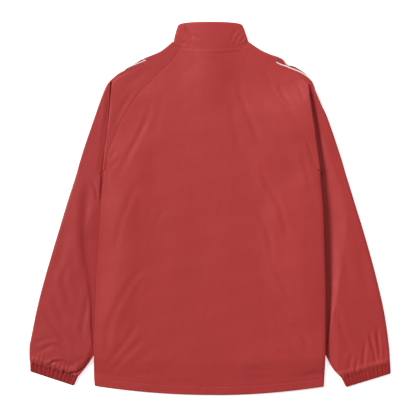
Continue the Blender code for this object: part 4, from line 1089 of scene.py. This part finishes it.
def sleeve_lines(side):
    """A sleeve's rows, with what both of its halves need to know of each."""
    rows = SLEEVE_ROWS[side]
    rows = rows[:3] + PIPING_ROWS[side] + rows[AFTER_PIPING[side]:]
    lines = []
    for index, row in enumerate(rows):
        before, after = rows[max(0, index - 1)], rows[min(len(rows) - 1, index + 1)]
        seam, across = Vector((row.sx, row.sy)), Vector((row.ex - row.sx, row.ey - row.sy))
        edge = Vector((after.ex - before.ex, after.ey - before.ey)).normalized()
        hidden = body_side(side, row.sy) - abs(row.sx)
        start = max(LEAST_START, hidden + MARGIN_RAMP[side][0])
        end = max(start + LEAST_RAMP, hidden + MARGIN_RAMP[side][1])
        lines.append(SleeveLine(row, row.sy > UNDERARM_Y, index in (0, len(rows) - 1), seam,
                                (Vector((row.ex, row.ey)) - seam).normalized(), across.length,
                                max(LEAST_SLANT, abs(edge.cross(across.normalized()))),
                                (start, end)))
    return lines


def place_on(line, distance):
    """A point on a sleeve's row."""
    return line.seam + line.way * (distance + (GAP / 2 if line.sewn else 0.0))


def sleeve_wall(line, s, end, at_piping, reach=EDGE_REACH):
    """The cloth's thickness at a distance along a sleeve's line, and how far it sinks."""
    if line.sewn:
        wall, sink = padded(s), 0.0
    else:
        share = min(1.0, max(0.0, (s - line.ramp[0]) / (line.ramp[1] - line.ramp[0])))
        wall = lerp(lerp(EDGE_WALL, MARGIN_WALL, min(1.0, s / 2.0)), WALL, share)
        sink = (WALL - MARGIN_WALL) * (1.0 - share)
    wall = min(wall, padded(end - s) if at_piping else rounded(end - s, reach))
    return (min(wall, SEAM_WALL), 0.0) if line.is_end else (wall, sink)


def pleat_line(fold_at, rise, turn, room, largest):
    """The pleat across a row: over its fold and down, or a plain slope where it is open."""
    steps = [k / ARC_STEPS for k in range(ARC_STEPS + 1)]
    if turn == 0:
        width = min(SLOPE_WIDTH, 0.5 * room)
        shares = [t / 2 for t in steps] + [0.55 + 0.45 * t for t in steps]
        return [(fold_at + width * t, rise * (1.0 - float(smooth(t)))) for t in shares]
    angle = radians(turn)
    radius = min(largest, FOLD_FILL * rise / (2.0 * (1.0 - cos(angle))))
    straight = (rise - 2.0 * radius * (1.0 - cos(angle))) / sin(angle)
    start = fold_at - radius * (1.0 if turn >= 90 else sin(angle))
    line = [(start + radius * sin(angle * t), rise - radius * (1.0 - cos(angle * t)))
            for t in steps]
    x = line[-1][0] + straight * cos(angle)
    z = line[-1][1] - straight * sin(angle)
    bends = [angle * (1.0 - t) for t in steps]
    return line + [(x + radius * (sin(angle) - sin(bend)), z - radius * (cos(bend) - cos(angle)))
                   for bend in bends]


def offset(line, walls):
    """The two faces of cloth whose middle is a line."""
    low, high = [], []
    for index, (s, z) in enumerate(line):
        way = Vector(line[min(len(line) - 1, index + 1)]) - Vector(line[max(0, index - 1)])
        way.normalize()
        half = walls[index] / 2
        low.append((s + way.y * half, z - way.x * half))
        high.append((s - way.y * half, z + way.x * half))
    return low, high


def sleeve_back_row(line):
    """The two faces of a row of the back half, as distances from the seam and heights."""
    row, length = line.row, line.length
    inset = 0.0 if row.inset is None else (row.inset + PIPING_ROOM) / line.slant
    end = length - inset
    if line.sewn:
        fold_at = (row.fold - row.sx) / (row.ex - row.sx) * length
        largest = CRISP_RADIUS if row.fold < 0 else FOLD_RADIUS
        pleat = pleat_line(fold_at, row.rise, row.turn, end - fold_at, largest)
        head = [0.0] + [min(step, pleat[0][0] * share) for step, share in HEAD_STEPS]
    else:
        last = 2 * ARC_STEPS + 1
        pleat = [(lerp(*line.ramp, k / last), 0.0) for k in range(last + 1)]
        head = OPEN_HEAD
    start = pleat[-1][0]
    near_edge = min(TAIL[0], TAIL[1] * (end - start))
    tail = [lerp(start, end - near_edge, k / 3.0) for k in (1, 2, 3)]
    tail += [end - step * near_edge for step in TAIL_STEPS]
    crisp = row.fold < 0 and row.turn > 0
    low, walls = [], []
    for s, z in [(s, row.rise) for s in head] + pleat + [(s, 0.0) for s in tail]:
        wall, sink = sleeve_wall(line, s, end, inset, CRISP_REACH if row.fold < 0 else EDGE_REACH)
        if crisp and (s, z) in pleat:
            thin = min(wall, PLEAT_WALL)
            wall, sink = thin, sink + thin - wall
        walls.append(wall)
        low.append((s, z - sink))
    if row.turn == 0:
        return low, [(s, z + wall) for (s, z), wall in zip(low, walls)]
    return offset([(s, z + wall / 2) for (s, z), wall in zip(low, walls)], walls)


def cuff_width(side):
    """Its width where it is sewn to the sleeve."""
    return (Vector(CUFFS[side].top_outer) - Vector(CUFFS[side].top_inner)).length


def gather_ribs(side):
    """Where a cuff's gathers lie along its width, how deep each is and how far it runs up."""
    rng = random.Random(RIB_SEEDS[side])
    depths, runs, pitches = RIB_RANGES
    ribs, at = [], RIB_MARGIN
    while at < cuff_width(side) - RIB_MARGIN:
        ribs.append((at, rng.uniform(*depths), rng.uniform(*runs)))
        at += RIB_PITCH * rng.uniform(*pitches)
    return ribs


def from_cuff(side, x, y):
    """How far along the cuff's upper edge points are and how far up from it, and the way up."""
    inner = np.array(CUFFS[side].top_inner)
    way = np.array(CUFFS[side].top_outer) - inner
    way /= np.linalg.norm(way)
    up = np.array([-way[1], way[0]])
    up = -up if up[1] < 0 else up
    x, y = x - inner[0], y - inner[1]
    return x * way[0] + y * way[1], x * up[0] + y * up[1], up


def gathers(side, x, y):
    """The troughs that run up the sleeve from its gathered end, and the distance from the cuff."""
    spread, between_them, depth, width = GATHER
    u, v, _ = from_cuff(side, x, y)
    total = np.zeros_like(x)
    for at, share, reach in gather_ribs(side):
        trough = np.exp(-((u - at) / spread) ** 2) - between_them
        trough *= np.exp(-np.clip(v, 0.0, None) / reach) * (np.abs(u - at) < width)
        total -= depth * share * trough
    return total, v


def near_pleat(y):
    """1 beside the pleat and 0 beside the body."""
    return smooth((y - PLEAT_Y[0]) / PLEAT_Y[1])


def gap_edge(side, y):
    """How far out the upper cloth's edge is: the body's side, and above that the pleat's fold."""
    which = SIDES.index(side)
    line = [((row.lx, row.ly), (row.rx, row.ry))[which] for row in BODY_ROWS]
    for row in reversed(SLEEVE_ROWS[side][6:UNDERARM + 1]):
        share = (row.fold - row.sx) / (row.ex - row.sx)
        line.append((row.fold, lerp(row.sy, row.ey, share)))
    x, places = zip(*line)
    return np.interp(y, places, np.abs(x))


def press(side, layer, below):
    """Presses a layer of the sleeve down into the gap."""
    x, y = np.abs(layer[..., 0]), layer[..., 1]
    places, widths, floors = zip(*GAPS[side])
    width = np.interp(y, places, widths)
    beside = x - gap_edge(side, y)
    start, span = GAP_RISE[side]
    start = lerp(start, 0.5 * start, smooth((y - GAP_RISE_Y[0]) / GAP_RISE_Y[1]))
    amount = 1.0 - smooth((beside / np.maximum(width, LEAST_GAP) - start) / span)
    amount *= lerp(*(smooth((beside - at) / reach) for at, reach in GAP_STARTS), near_pleat(y))
    amount *= between(y, GAP_Y, (places[-1], GAP_END))
    down = np.interp(y, places, floors) - below
    down -= GAP_FALL[side] * np.clip(GAP_FALL_SHARE * width - np.abs(beside), 0.0, None)
    layer[..., 2] = lerp(layer[..., 2], np.minimum(layer[..., 2], down), amount)


def ruffle(side, under, over):
    """Moves the sleeve's gathered end to and fro where it meets the cuff."""
    rng = random.Random(RUFFLE_SEED)
    count, lengths = RUFFLE_WAVES
    waves = [(rng.uniform(*lengths), rng.uniform(0.0, 2 * pi)) for _ in range(count)]
    for layer in (under, over):
        u, v, up = from_cuff(side, layer[..., 0], layer[..., 1])
        shift = sum(np.sin(2 * pi * u / length + phase) for length, phase in waves)
        shift = (shift * RUFFLE[0] + RUFFLE[1]) * smooth(1.0 - v / RUFFLE_REACH)
        layer[..., 0] -= up[0] * shift
        layer[..., 1] -= up[1] * shift
    drop, reach = RUFFLE_DROP
    over[..., 2] -= drop * smooth((reach - v) / reach)


def roll_mask(over):
    """Where the cloth turns under at the pleat, and a little to either side."""
    x = np.abs(over[..., 0])
    back = np.diff(x, axis=1, prepend=x[:, :1]) < ROLL_STEP
    mask = np.zeros(x.shape, bool)
    for row in np.flatnonzero(back.any(axis=1)):
        at = np.flatnonzero(back[row])
        mask[row, max(0, at.min() - ROLL_MARGIN):at.max() + ROLL_MARGIN] = True
    return mask


def left_stand_off(x, y, edge):
    """How far the left sleeve's back half stands off its front half."""
    beside = np.abs(x) - gap_edge("left", y)
    outside = sum(share * smooth((beside - start) / width)
                  for share, start, width in STAND_OFF_STEPS)
    stand_off = STAND_OFF * lerp(1.0, outside, near_pleat(y)) * smooth(edge / STAND_OFF_EDGE)
    return stand_off * between(y, *STAND_OFF_Y)


def make_sleeve_back(side, lines):
    """A sleeve's back half, from its pleat out to the overarm."""
    under, over = [], []
    for line in lines:
        for layer, face in zip((under, over), sleeve_back_row(line)):
            spots = [(*place_on(line, s), z) for s, z in face]
            layer.append([(x, y, BACK_FLOOR + z + neck_lift(x, y, NECK_LIFT_BACK))
                          for x, y, z in spots])
    # The neck's edge is tucked in, and the seam allowance reaches a little way under the back.
    way = Vector((lines[0].way.y, -lines[0].way.x)) * TUCK
    way = way if way.y > 0 else -way
    shares = np.linspace(1.0, 0.0, len(under[0])) ** 0.5
    for layer, drop in zip((under, over), TUCK_DROPS["sleeve"]):
        layer.insert(0, [(x + way.x * k, y + way.y * k, z - drop)
                         for k, (x, y, z) in zip(shares, layer[0])])
    for low, high, line in zip(under, over, lines[:1] + lines):
        reach, *drops = SEAM_ALLOWANCE if line.sewn else OPEN_EDGE
        for face, drop in zip((low, high), drops):
            x, y, z = face[0]
            face.insert(0, (x - line.way.x * reach, y - line.way.y * reach, z - drop))
    across = [SLEEVE_GRID[0]] * (len(under[0]) - 1)
    across[:3] = SLEEVE_SEAM_GRIDS
    head = len(HEAD_STEPS) + 1
    pleat = 2 * ARC_STEPS + 3
    across[head:head + pleat] = [PLEAT_GRID] * pleat
    across[-2:] = SLEEVE_EDGE_GRIDS
    at_neck, at_cuff = SLEEVE_END_GRIDS
    along = [at_neck] + [SLEEVE_GRID[1]] * (len(lines) - 2) + [at_cuff]
    under, over = refined(grids(under, over), across, along)
    x, y = over[..., 0], over[..., 1]
    gather, to_cuff = gathers(side, x, y)
    creased, uneven = SLEEVE_DEPTH
    height = creased * crease_height(SLEEVE_CREASES, x, y) + uneven * undulation(x, y)
    # Nothing is raised where the body lies on the sleeve, nor right under the pleat.
    underarm_y = SLEEVE_ROWS[side][UNDERARM].sy
    beside = np.abs(x) - body_side(side, y[:, :1]) - CLEAR[0]
    fades = SLEEVE_FADES
    clear = np.where(y < underarm_y + CLEAR[1], smooth(beside / fades["body"]), 1.0)
    edge = np.linalg.norm(over[:, -1:, :2] - over[..., :2], axis=2)
    seam = np.linalg.norm(over[:, :1, :2] - over[..., :2], axis=2)
    neck = np.clip(row_distance(over) - TUCK, 0.0, None)
    height *= clear * smooth(edge / fades["edge"]) * smooth(neck / NECK_FADE)
    by_seam = lerp(SEAM_SHARE, 1.0, smooth(seam / fades["seam"]))
    height *= np.where(y > underarm_y, by_seam, 1.0)
    most, reach = SWELL
    swell = most * smooth(1.0 - np.abs(to_cuff - reach) / reach) * smooth(edge / fades["swell"])
    height += (gather + swell) * clear * smooth(edge / fades["gathers"])
    pad = NECK_PAD["sleeve"] * np.exp(-(neck / NECK_PAD_REACH) ** 2)
    height += pad * smooth(edge / fades["pad"])
    is_roll = roll_mask(over)
    stand_off = left_stand_off(x, y, edge) if side == "left" else np.zeros_like(x)
    over[..., 2] += height + stand_off
    under[..., 2] += np.where(is_roll, height, 0.0) + stand_off
    press(side, over, 0.0)
    press(side, under, LEAST_WALL)
    over[..., 2] = np.where(is_roll, over[..., 2], keep_wall(under, over))
    ruffle(side, under, over)
    make_cloth("sleeve_back_" + side, under, over, SHELL_CLOTH[side])


def front_steps(line, end):
    """Distances along a row of the front half, and how much higher it lies at each."""
    lifts = [0.0] * 4
    if line.row in [rows[UNDERARM] for rows in SLEEVE_ROWS.values()]:
        steps, lifts = UNDERARM_STEPS, [UNDERARM_LIFT, UNDERARM_LIFT, 0.0, 0.0]
    elif line.sewn:
        steps = [step * min(1.0, SEWN_FULL * end) for step in SEWN_STEPS]
    else:
        steps = [0.0, 2.0, *line.ramp]
    width, full, before, inside = FRONT_TAIL
    near_edge = end - width * min(1.0, full * end)
    steps = steps + [lerp(steps[-1], near_edge, before), near_edge,
                     lerp(near_edge, end, inside), end]
    full, any_lift, hinge = (float(smooth(((line.row.inset or 0.0) - start) / reach))
                             for start, reach in FLAP_INSETS)
    beyond = lerp(*FLAP_LIFT, full) * any_lift
    return steps, lifts + [0.0, beyond * hinge, beyond, beyond]


def make_sleeve_front(side, lines):
    """A sleeve's front half, which lies under the back half."""
    under, over = [], []
    for line in lines:
        room = PIPING_HIDDEN[0] + PIPING_ROOM if line.row.inset is None else 0.0
        end = line.length - room / line.slant
        low, high = [], []
        for s, lift in zip(*front_steps(line, end)):
            wall, sink = sleeve_wall(line, s, end, room)
            hidden_edge = not line.sewn and s == 0.0
            inward = float(np.interp(line.row.sy, *UNDERARM_REACH)) if hidden_edge else 0.0
            x, y = place_on(line, s - inward)
            top = WALL - sink + lift + neck_lift(x, y, NECK_LIFT)
            low.append((x, y, top - wall))
            high.append((x, y, top))
        under.append(low)
        over.append(high)
    across, at_edge, along, at_cuff = FRONT_GRIDS
    under, over = refined(grids(under, over), [across] * (len(under[0]) - 2) + [at_edge],
                          [along] * (len(lines) - 2) + [at_cuff])
    if side == "right":
        press(side, over, FRONT_FLOOR)
    x, y = under[..., 0], under[..., 1]
    dent = np.clip(-DENT_SHARE["sleeve"] * crease_height(SLEEVE_CREASES, x, y), 0.0, DENT_MOST[0])
    dent += np.clip(-gathers(side, x, y)[0], 0.0, DENT_MOST[1])
    under[..., 2] = np.minimum(under[..., 2] + dent, over[..., 2] - LEAST_WALL)
    make_cloth("sleeve_front_" + side, under, over, SHELL_CLOTH[side])


# ---- Piping --------------------------------------------------------------------------------------
def piping_line(lines):
    """The piping's middle line, down in the cloth where it is out of sight."""
    inset_hidden, z_hidden = PIPING_HIDDEN
    points = []
    for row, slant in ((line.row, line.slant) for line in lines):
        shows = row.inset is not None
        inset, z = (row.inset, PIPING_TOP) if shows else (inset_hidden, z_hidden)
        edge, seam = Vector((row.ex, row.ey)), Vector((row.sx, row.sy))
        x, y = edge - (edge - seam).normalized() * inset / slant
        points.append((x, y, z + neck_lift(x, y, NECK_LIFT), shows))
    path = []
    for before, point, after in zip(points[:1] + points, points, points[1:] + points[-1:]):
        x, y, z, shows = point
        if shows and not before[3]:
            # It comes up through the cloth behind its first place in sight.
            way = (Vector(after[:2]) - Vector((x, y))).normalized()
            path[-1:] = [(*(Vector((x, y)) - way * back), height) for back, height in PIPING_DIP]
        if before[3] and not shows:
            z = (z_hidden + PIPING_TOP) / 2 + neck_lift(x, y, NECK_LIFT)
        path.append((x, y, z))
    return path[1:]


def tubes(name, lines, radius, sides=10):
    """Round cords along lines of points, with rounded ends."""
    points, faces = [], []
    for line in lines:
        faces += tube_faces(len(points), len(line), sides)
        ways = np.gradient(line, axis=0)
        ways /= np.linalg.norm(ways, axis=1)[:, None]
        for i, (spot, way) in enumerate(zip(line, ways)):
            out = np.cross(way, (0.0, 0.0, 1.0))
            out /= np.linalg.norm(out)
            up = np.cross(out, way)
            thick = radius * (PIPING_END if i in (0, len(line) - 1) else 1.0)
            for a in 2 * pi * np.arange(sides) / sides:
                points.append(spot + thick * (out * cos(a) + up * sin(a)))
    return mesh_from(name, points, faces)


def make_piping(side, sleeve):
    name = "piping_" + side
    lines = [piping_line(sleeve)] + ([PIPING_GLIMPSE] if side == "right" else [])
    lines = [np.array([line]) for line in lines]
    lines = [finer(line, chords([line, line]), [8] * (line.shape[1] - 1))[0] for line in lines]
    mesh = tubes(name + "_cord", lines, PIPING_RADIUS * PIPING_SHARE[side])
    link(mesh, PIPING_CLOTH, [name])


# ---- Collar --------------------------------------------------------------------------------------
def collar_spot(row, sign, share):
    """A point in the middle of the collar's cloth, and its thickness there."""
    angle = radians(row.turn)
    at_seam = share == 0.0
    x = lerp(row.bx, row.tx, share)
    y = lerp(row.by, row.ty, share) - COLLAR_SEAM[0] * at_seam
    wall = lerp(COLLAR_SEAM_WALL, COLLAR_WALL, float(smooth(share / COLLAR_FULL)))
    if share > COLLAR_EDGE:
        wall = lerp(COLLAR_WALL, EDGE_WALL, ((share - COLLAR_EDGE) / (1.0 - COLLAR_EDGE)) ** 2)
    wall = min(wall, COLLAR_BED_WALL) if row.bed else wall
    start, width = COLLAR_FLARE_X
    flare = COLLAR_FLARE * (1.0 - share) * float(smooth((x - start) / width)) * (sign > 0)
    z = COLLAR_BED if row.bed else WALL / 2
    z += COLLAR_TURN_RADIUS * (1.0 - cos(angle)) + neck_lift(x, y, NECK_LIFT)
    z -= COLLAR_SEAM[1] * at_seam
    return Vector(((x + flare + COLLAR_TURN_RADIUS * sin(angle)) * sign, y, z)), wall


def make_collar():
    """The collar: one band, turned over at its ends."""
    inner, outer = [], []
    stations = [(row, -1) for row in COLLAR_ROWS[:-1]] + [(row, 1) for row in COLLAR_ROWS[::-1]]
    for row, sign in stations:
        angle = radians(row.turn)
        normal = Vector((sin(angle) * sign, 0.0, -cos(angle)))
        spots = [collar_spot(row, sign, share) for share in COLLAR_SHARES]
        inner.append([middle - normal * wall / 2 for middle, wall in spots])
        outer.append([middle + normal * wall / 2 for middle, wall in spots])
    inner, outer = refined(grids(inner, outer), *COLLAR_GRID)
    x, y = outer[..., 0], outer[..., 1]
    is_back = smooth((outer[..., 2] - inner[..., 2]) / COLLAR_WALL * 1.5)
    upwards = outer.transpose(1, 0, 2)
    uneven, closer = COLLAR_RIPPLES
    height = crease_height(COLLAR_CREASES, x, y) + uneven * undulation(x * closer, y * closer)
    height *= is_back * smooth(row_distance(upwards).T / COLLAR_FADE)
    outer[..., 2] += height * smooth(row_distance(upwards, True).T / COLLAR_FADE)
    outer[..., 2] = np.where(is_back > 0.5, keep_wall(inner, outer), outer[..., 2])
    make_cloth("collar", inner, outer, SHELL_CLOTH["collar"])


# ---- Cuffs ---------------------------------------------------------------------------------------
def cuff_ring(side, ribs, t, grow):
    """One ring of a cuff: flat, with round ends, and ribbed unless grow is 0."""
    plan = CUFFS[side]
    _, fine, turns = CUFF_STEPS
    wander, often = RIB_WANDER
    beat, beats = RIB_BEAT
    a = Vector(plan.top_inner).lerp(Vector(plan.end_inner), t)
    b = Vector(plan.top_outer).lerp(Vector(plan.end_outer), t)
    way, length = (b - a).normalized(), (b - a).length
    reach = middle_z = CUFF_WALL + CUFF_SLIT / 2
    first, second = a + way * reach, b - way * reach

    def half(u, share):
        """Half the ring's height at a distance along it, with a share of the ribs."""
        total = 0.0
        for at, depth, _ in ribs if grow else ():
            centre = at / cuff_width(side) * length + wander * sin(often * t + at)
            total -= RIB_DEPTH * depth * np.exp(-((u - centre) / RIB_WIDTH) ** 2)
        total *= 1.0 - beat + beat * cos(beats * t)
        return CUFF_SLIT / 2 + grow + RIB_SHARES[share] * total

    def end(centre, start, u):
        size = half(u, "end")
        for k in range(turns + 1):
            bend = start + pi * k / turns
            yield (*(centre + way * size * cos(bend)), middle_z + size * sin(bend))

    def flat(places, sign, share):
        for k in places:
            u = reach + (length - 2 * reach) * k / fine
            yield (*first.lerp(second, k / fine), middle_z + sign * half(u, share))

    return [*end(first, pi / 2, 0.0), *flat(range(1, fine), -1, "under"),
            *end(second, -pi / 2, length), *flat(range(fine - 1, 0, -1), 1, "top")]


def make_cuff(side):
    """A gathered elastic cuff: a flattened tube with uneven ribs across it."""
    ribs = gather_ribs(side)
    count = CUFF_STEPS[0]
    rings = []
    for ribbed in (1.0, 0.0):
        for t in CUFF_TUCK + (1.0 - CUFF_TUCK) * np.arange(count) / (count - 1):
            # The band is fullest between its two seams and thin at its open end.
            share = 1.0 - CUFF_OPEN[1] * max(0.0, (t - CUFF_OPEN[0]) / (1.0 - CUFF_OPEN[0])) ** 2
            share -= CUFF_SEWN[2] * smooth((CUFF_SEWN[0] - t) / CUFF_SEWN[1])
            rings.append(cuff_ring(side, ribs, t, CUFF_WALL * share * ribbed))
    sides = len(rings[0])
    pairs = [(ring + layer, ring + 1 + layer) for ring in range(count - 1) for layer in (0, count)]
    pairs += [(0, count), (count - 1, 2 * count - 1)]
    faces = []
    for k in range(sides):
        after = (k + 1) % sides
        faces += [[first * sides + k, first * sides + after, second * sides + after,
                   second * sides + k] for first, second in pairs]
    mesh = mesh_from("cuff_%s_cloth" % side, [point for ring in rings for point in ring], faces)
    link(mesh, CUFF_CLOTH[side], ["cuff_" + side])


# ---- Zip -----------------------------------------------------------------------------------------
def make_tape(side, sign):
    """One tape of the zip, ribbed along its length."""
    name = "zip_tape_" + side
    inner, outer, low, high = TAPE
    x = np.linspace(*sorted((inner * sign, outer * sign)), TAPE_COLUMNS)
    rib = np.array([TAPE_RIB * abs(sin(k * pi / 2)) for k in range(TAPE_COLUMNS)])
    y = np.minimum(np.arange(ZIP_BOTTOM, ZIP_TOP + 0.1, TAPE_STEP), ZIP_TOP)
    lift = neck_lift(0.0, y, NECK_LIFT)[:, None]
    x, y, low, high = np.broadcast_arrays(x, y[:, None], lift + low + rib, lift + high - rib)
    mesh = shell_mesh(name + "_woven", np.stack([x, y, low], 2), np.stack([x, y, high], 2))
    link(mesh, TAPE_CLOTH, [name])


def make_teeth():
    """Interlocking moulded teeth on a core, in place of the plain chain."""
    half, low, high = CHAIN
    length, pitch = TOOTH
    points, faces = [], []
    y, side = ZIP_BOTTOM, -1
    while y + length < CHAIN_END:
        lift = float(neck_lift(0.0, y, NECK_LIFT))
        x0, x1 = sorted((TOOTH_CORE * side, half * side))
        z0, z1 = low + lift, high + lift
        faces += tube_faces(len(points), 4, 4)
        for z, inset in ((z0, TOOTH_CHAMFER), (z0 + TOOTH_CHAMFER, 0.0),
                         (z1 - TOOTH_CHAMFER, 0.0), (z1, TOOTH_CHAMFER)):
            points += [(x0 + inset, y + inset, z), (x1 - inset, y + inset, z),
                       (x1 - inset, y + length - inset, z), (x0 + inset, y + length - inset, z)]
        y += pitch / 2
        side = -side
    link(mesh_from("zip_teeth", points, faces, 30), TOOTH_PLASTIC, ["zip_chain"])


make_back()
make_front("left", -1)
make_front("right", 1)
for side in SIDES:
    sleeve = sleeve_lines(side)
    make_sleeve_back(side, sleeve)
    make_sleeve_front(side, sleeve)
    make_piping(side, sleeve)
    make_cuff(side)
make_collar()
make_tape("left", -1)
make_tape("right", 1)
make_teeth()

for node in ("zip_slider", "zip_pull"):
    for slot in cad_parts[node].material_slots:
        slot.material = STEEL

# ---- Floor, light and camera ---------------------------------------------------------------------
VIEW_WIDTH = 0.8736       # of the picture at the cloth's height
VIEW_CENTRE = (-4.8, 1.05)
CAMERA_HEIGHT = 2.5
CLOTH_HEIGHT = 0.009
SENSOR = 36.0
FLOOR_REACH = 6.0
FLOOR_Z = -0.0004
FLOOR_LOOKS = {"Base Color": (0.86, 0.86, 0.86, 1.0), "Roughness": 0.9, "Specular IOR Level": 0.1,
               "Emission Color": (1.0, 1.0, 1.0, 1.0), "Emission Strength": 0.6}
DAYLIGHT = 0.33
# Each light's name, place, target, size and power.
LIGHTS = [("key", (-15.6, 7.4, 14.7), (0.0, 0.0, 0.0), 7.0, 5100.0),
          ("top", (0.5, 2.0, 1.3), (0.0, 0.2, 0.0), 1.2, 16.0)]


def make_floor():
    mesh = bpy.data.meshes.new("floor")
    corners = [(x * FLOOR_REACH, y * FLOOR_REACH, FLOOR_Z)
               for x, y in ((-1, -1), (1, -1), (1, 1), (-1, 1))]
    mesh.from_pydata(corners, [], [(0, 1, 2, 3)])
    floor = place("floor", mesh)
    material = bpy.data.materials.new("floor_paper")
    material.use_nodes = True
    for socket, value in FLOOR_LOOKS.items():
        material.node_tree.nodes["Principled BSDF"].inputs[socket].default_value = value
    mesh.materials.append(material)


def make_light(name, spot, target, size, power):
    light = bpy.data.lights.new(name, "AREA")
    light.shape = "DISK"
    light.size = size
    light.energy = power
    obj = place(name, light)
    obj.location = spot
    obj.rotation_mode = "QUATERNION"
    obj.rotation_quaternion = (Vector(target) - Vector(spot)).to_track_quat("-Z", "Y")


def make_world(strength):
    world = bpy.data.worlds.new("studio")
    world.use_nodes = True
    background = world.node_tree.nodes["Background"]
    background.inputs["Color"].default_value = (1.0, 1.0, 1.0, 1.0)
    background.inputs["Strength"].default_value = strength
    bpy.context.scene.world = world


def make_camera():
    camera = bpy.data.cameras.new("camera")
    camera.sensor_width = SENSOR
    camera.lens = SENSOR * (CAMERA_HEIGHT - CLOTH_HEIGHT) / VIEW_WIDTH
    camera.clip_start, camera.clip_end = 0.1, 20.0
    obj = place("camera", camera)
    obj.location = (VIEW_CENTRE[0] * MM + SHIFT[0], VIEW_CENTRE[1] * MM + SHIFT[1], CAMERA_HEIGHT)
    obj.rotation_euler = (0.0, 0.0, 0.0)
    bpy.context.scene.camera = obj


make_floor()
make_world(DAYLIGHT)
for light in LIGHTS:
    make_light(*light)
make_camera()
bpy.context.scene.view_settings.view_transform = "Standard"
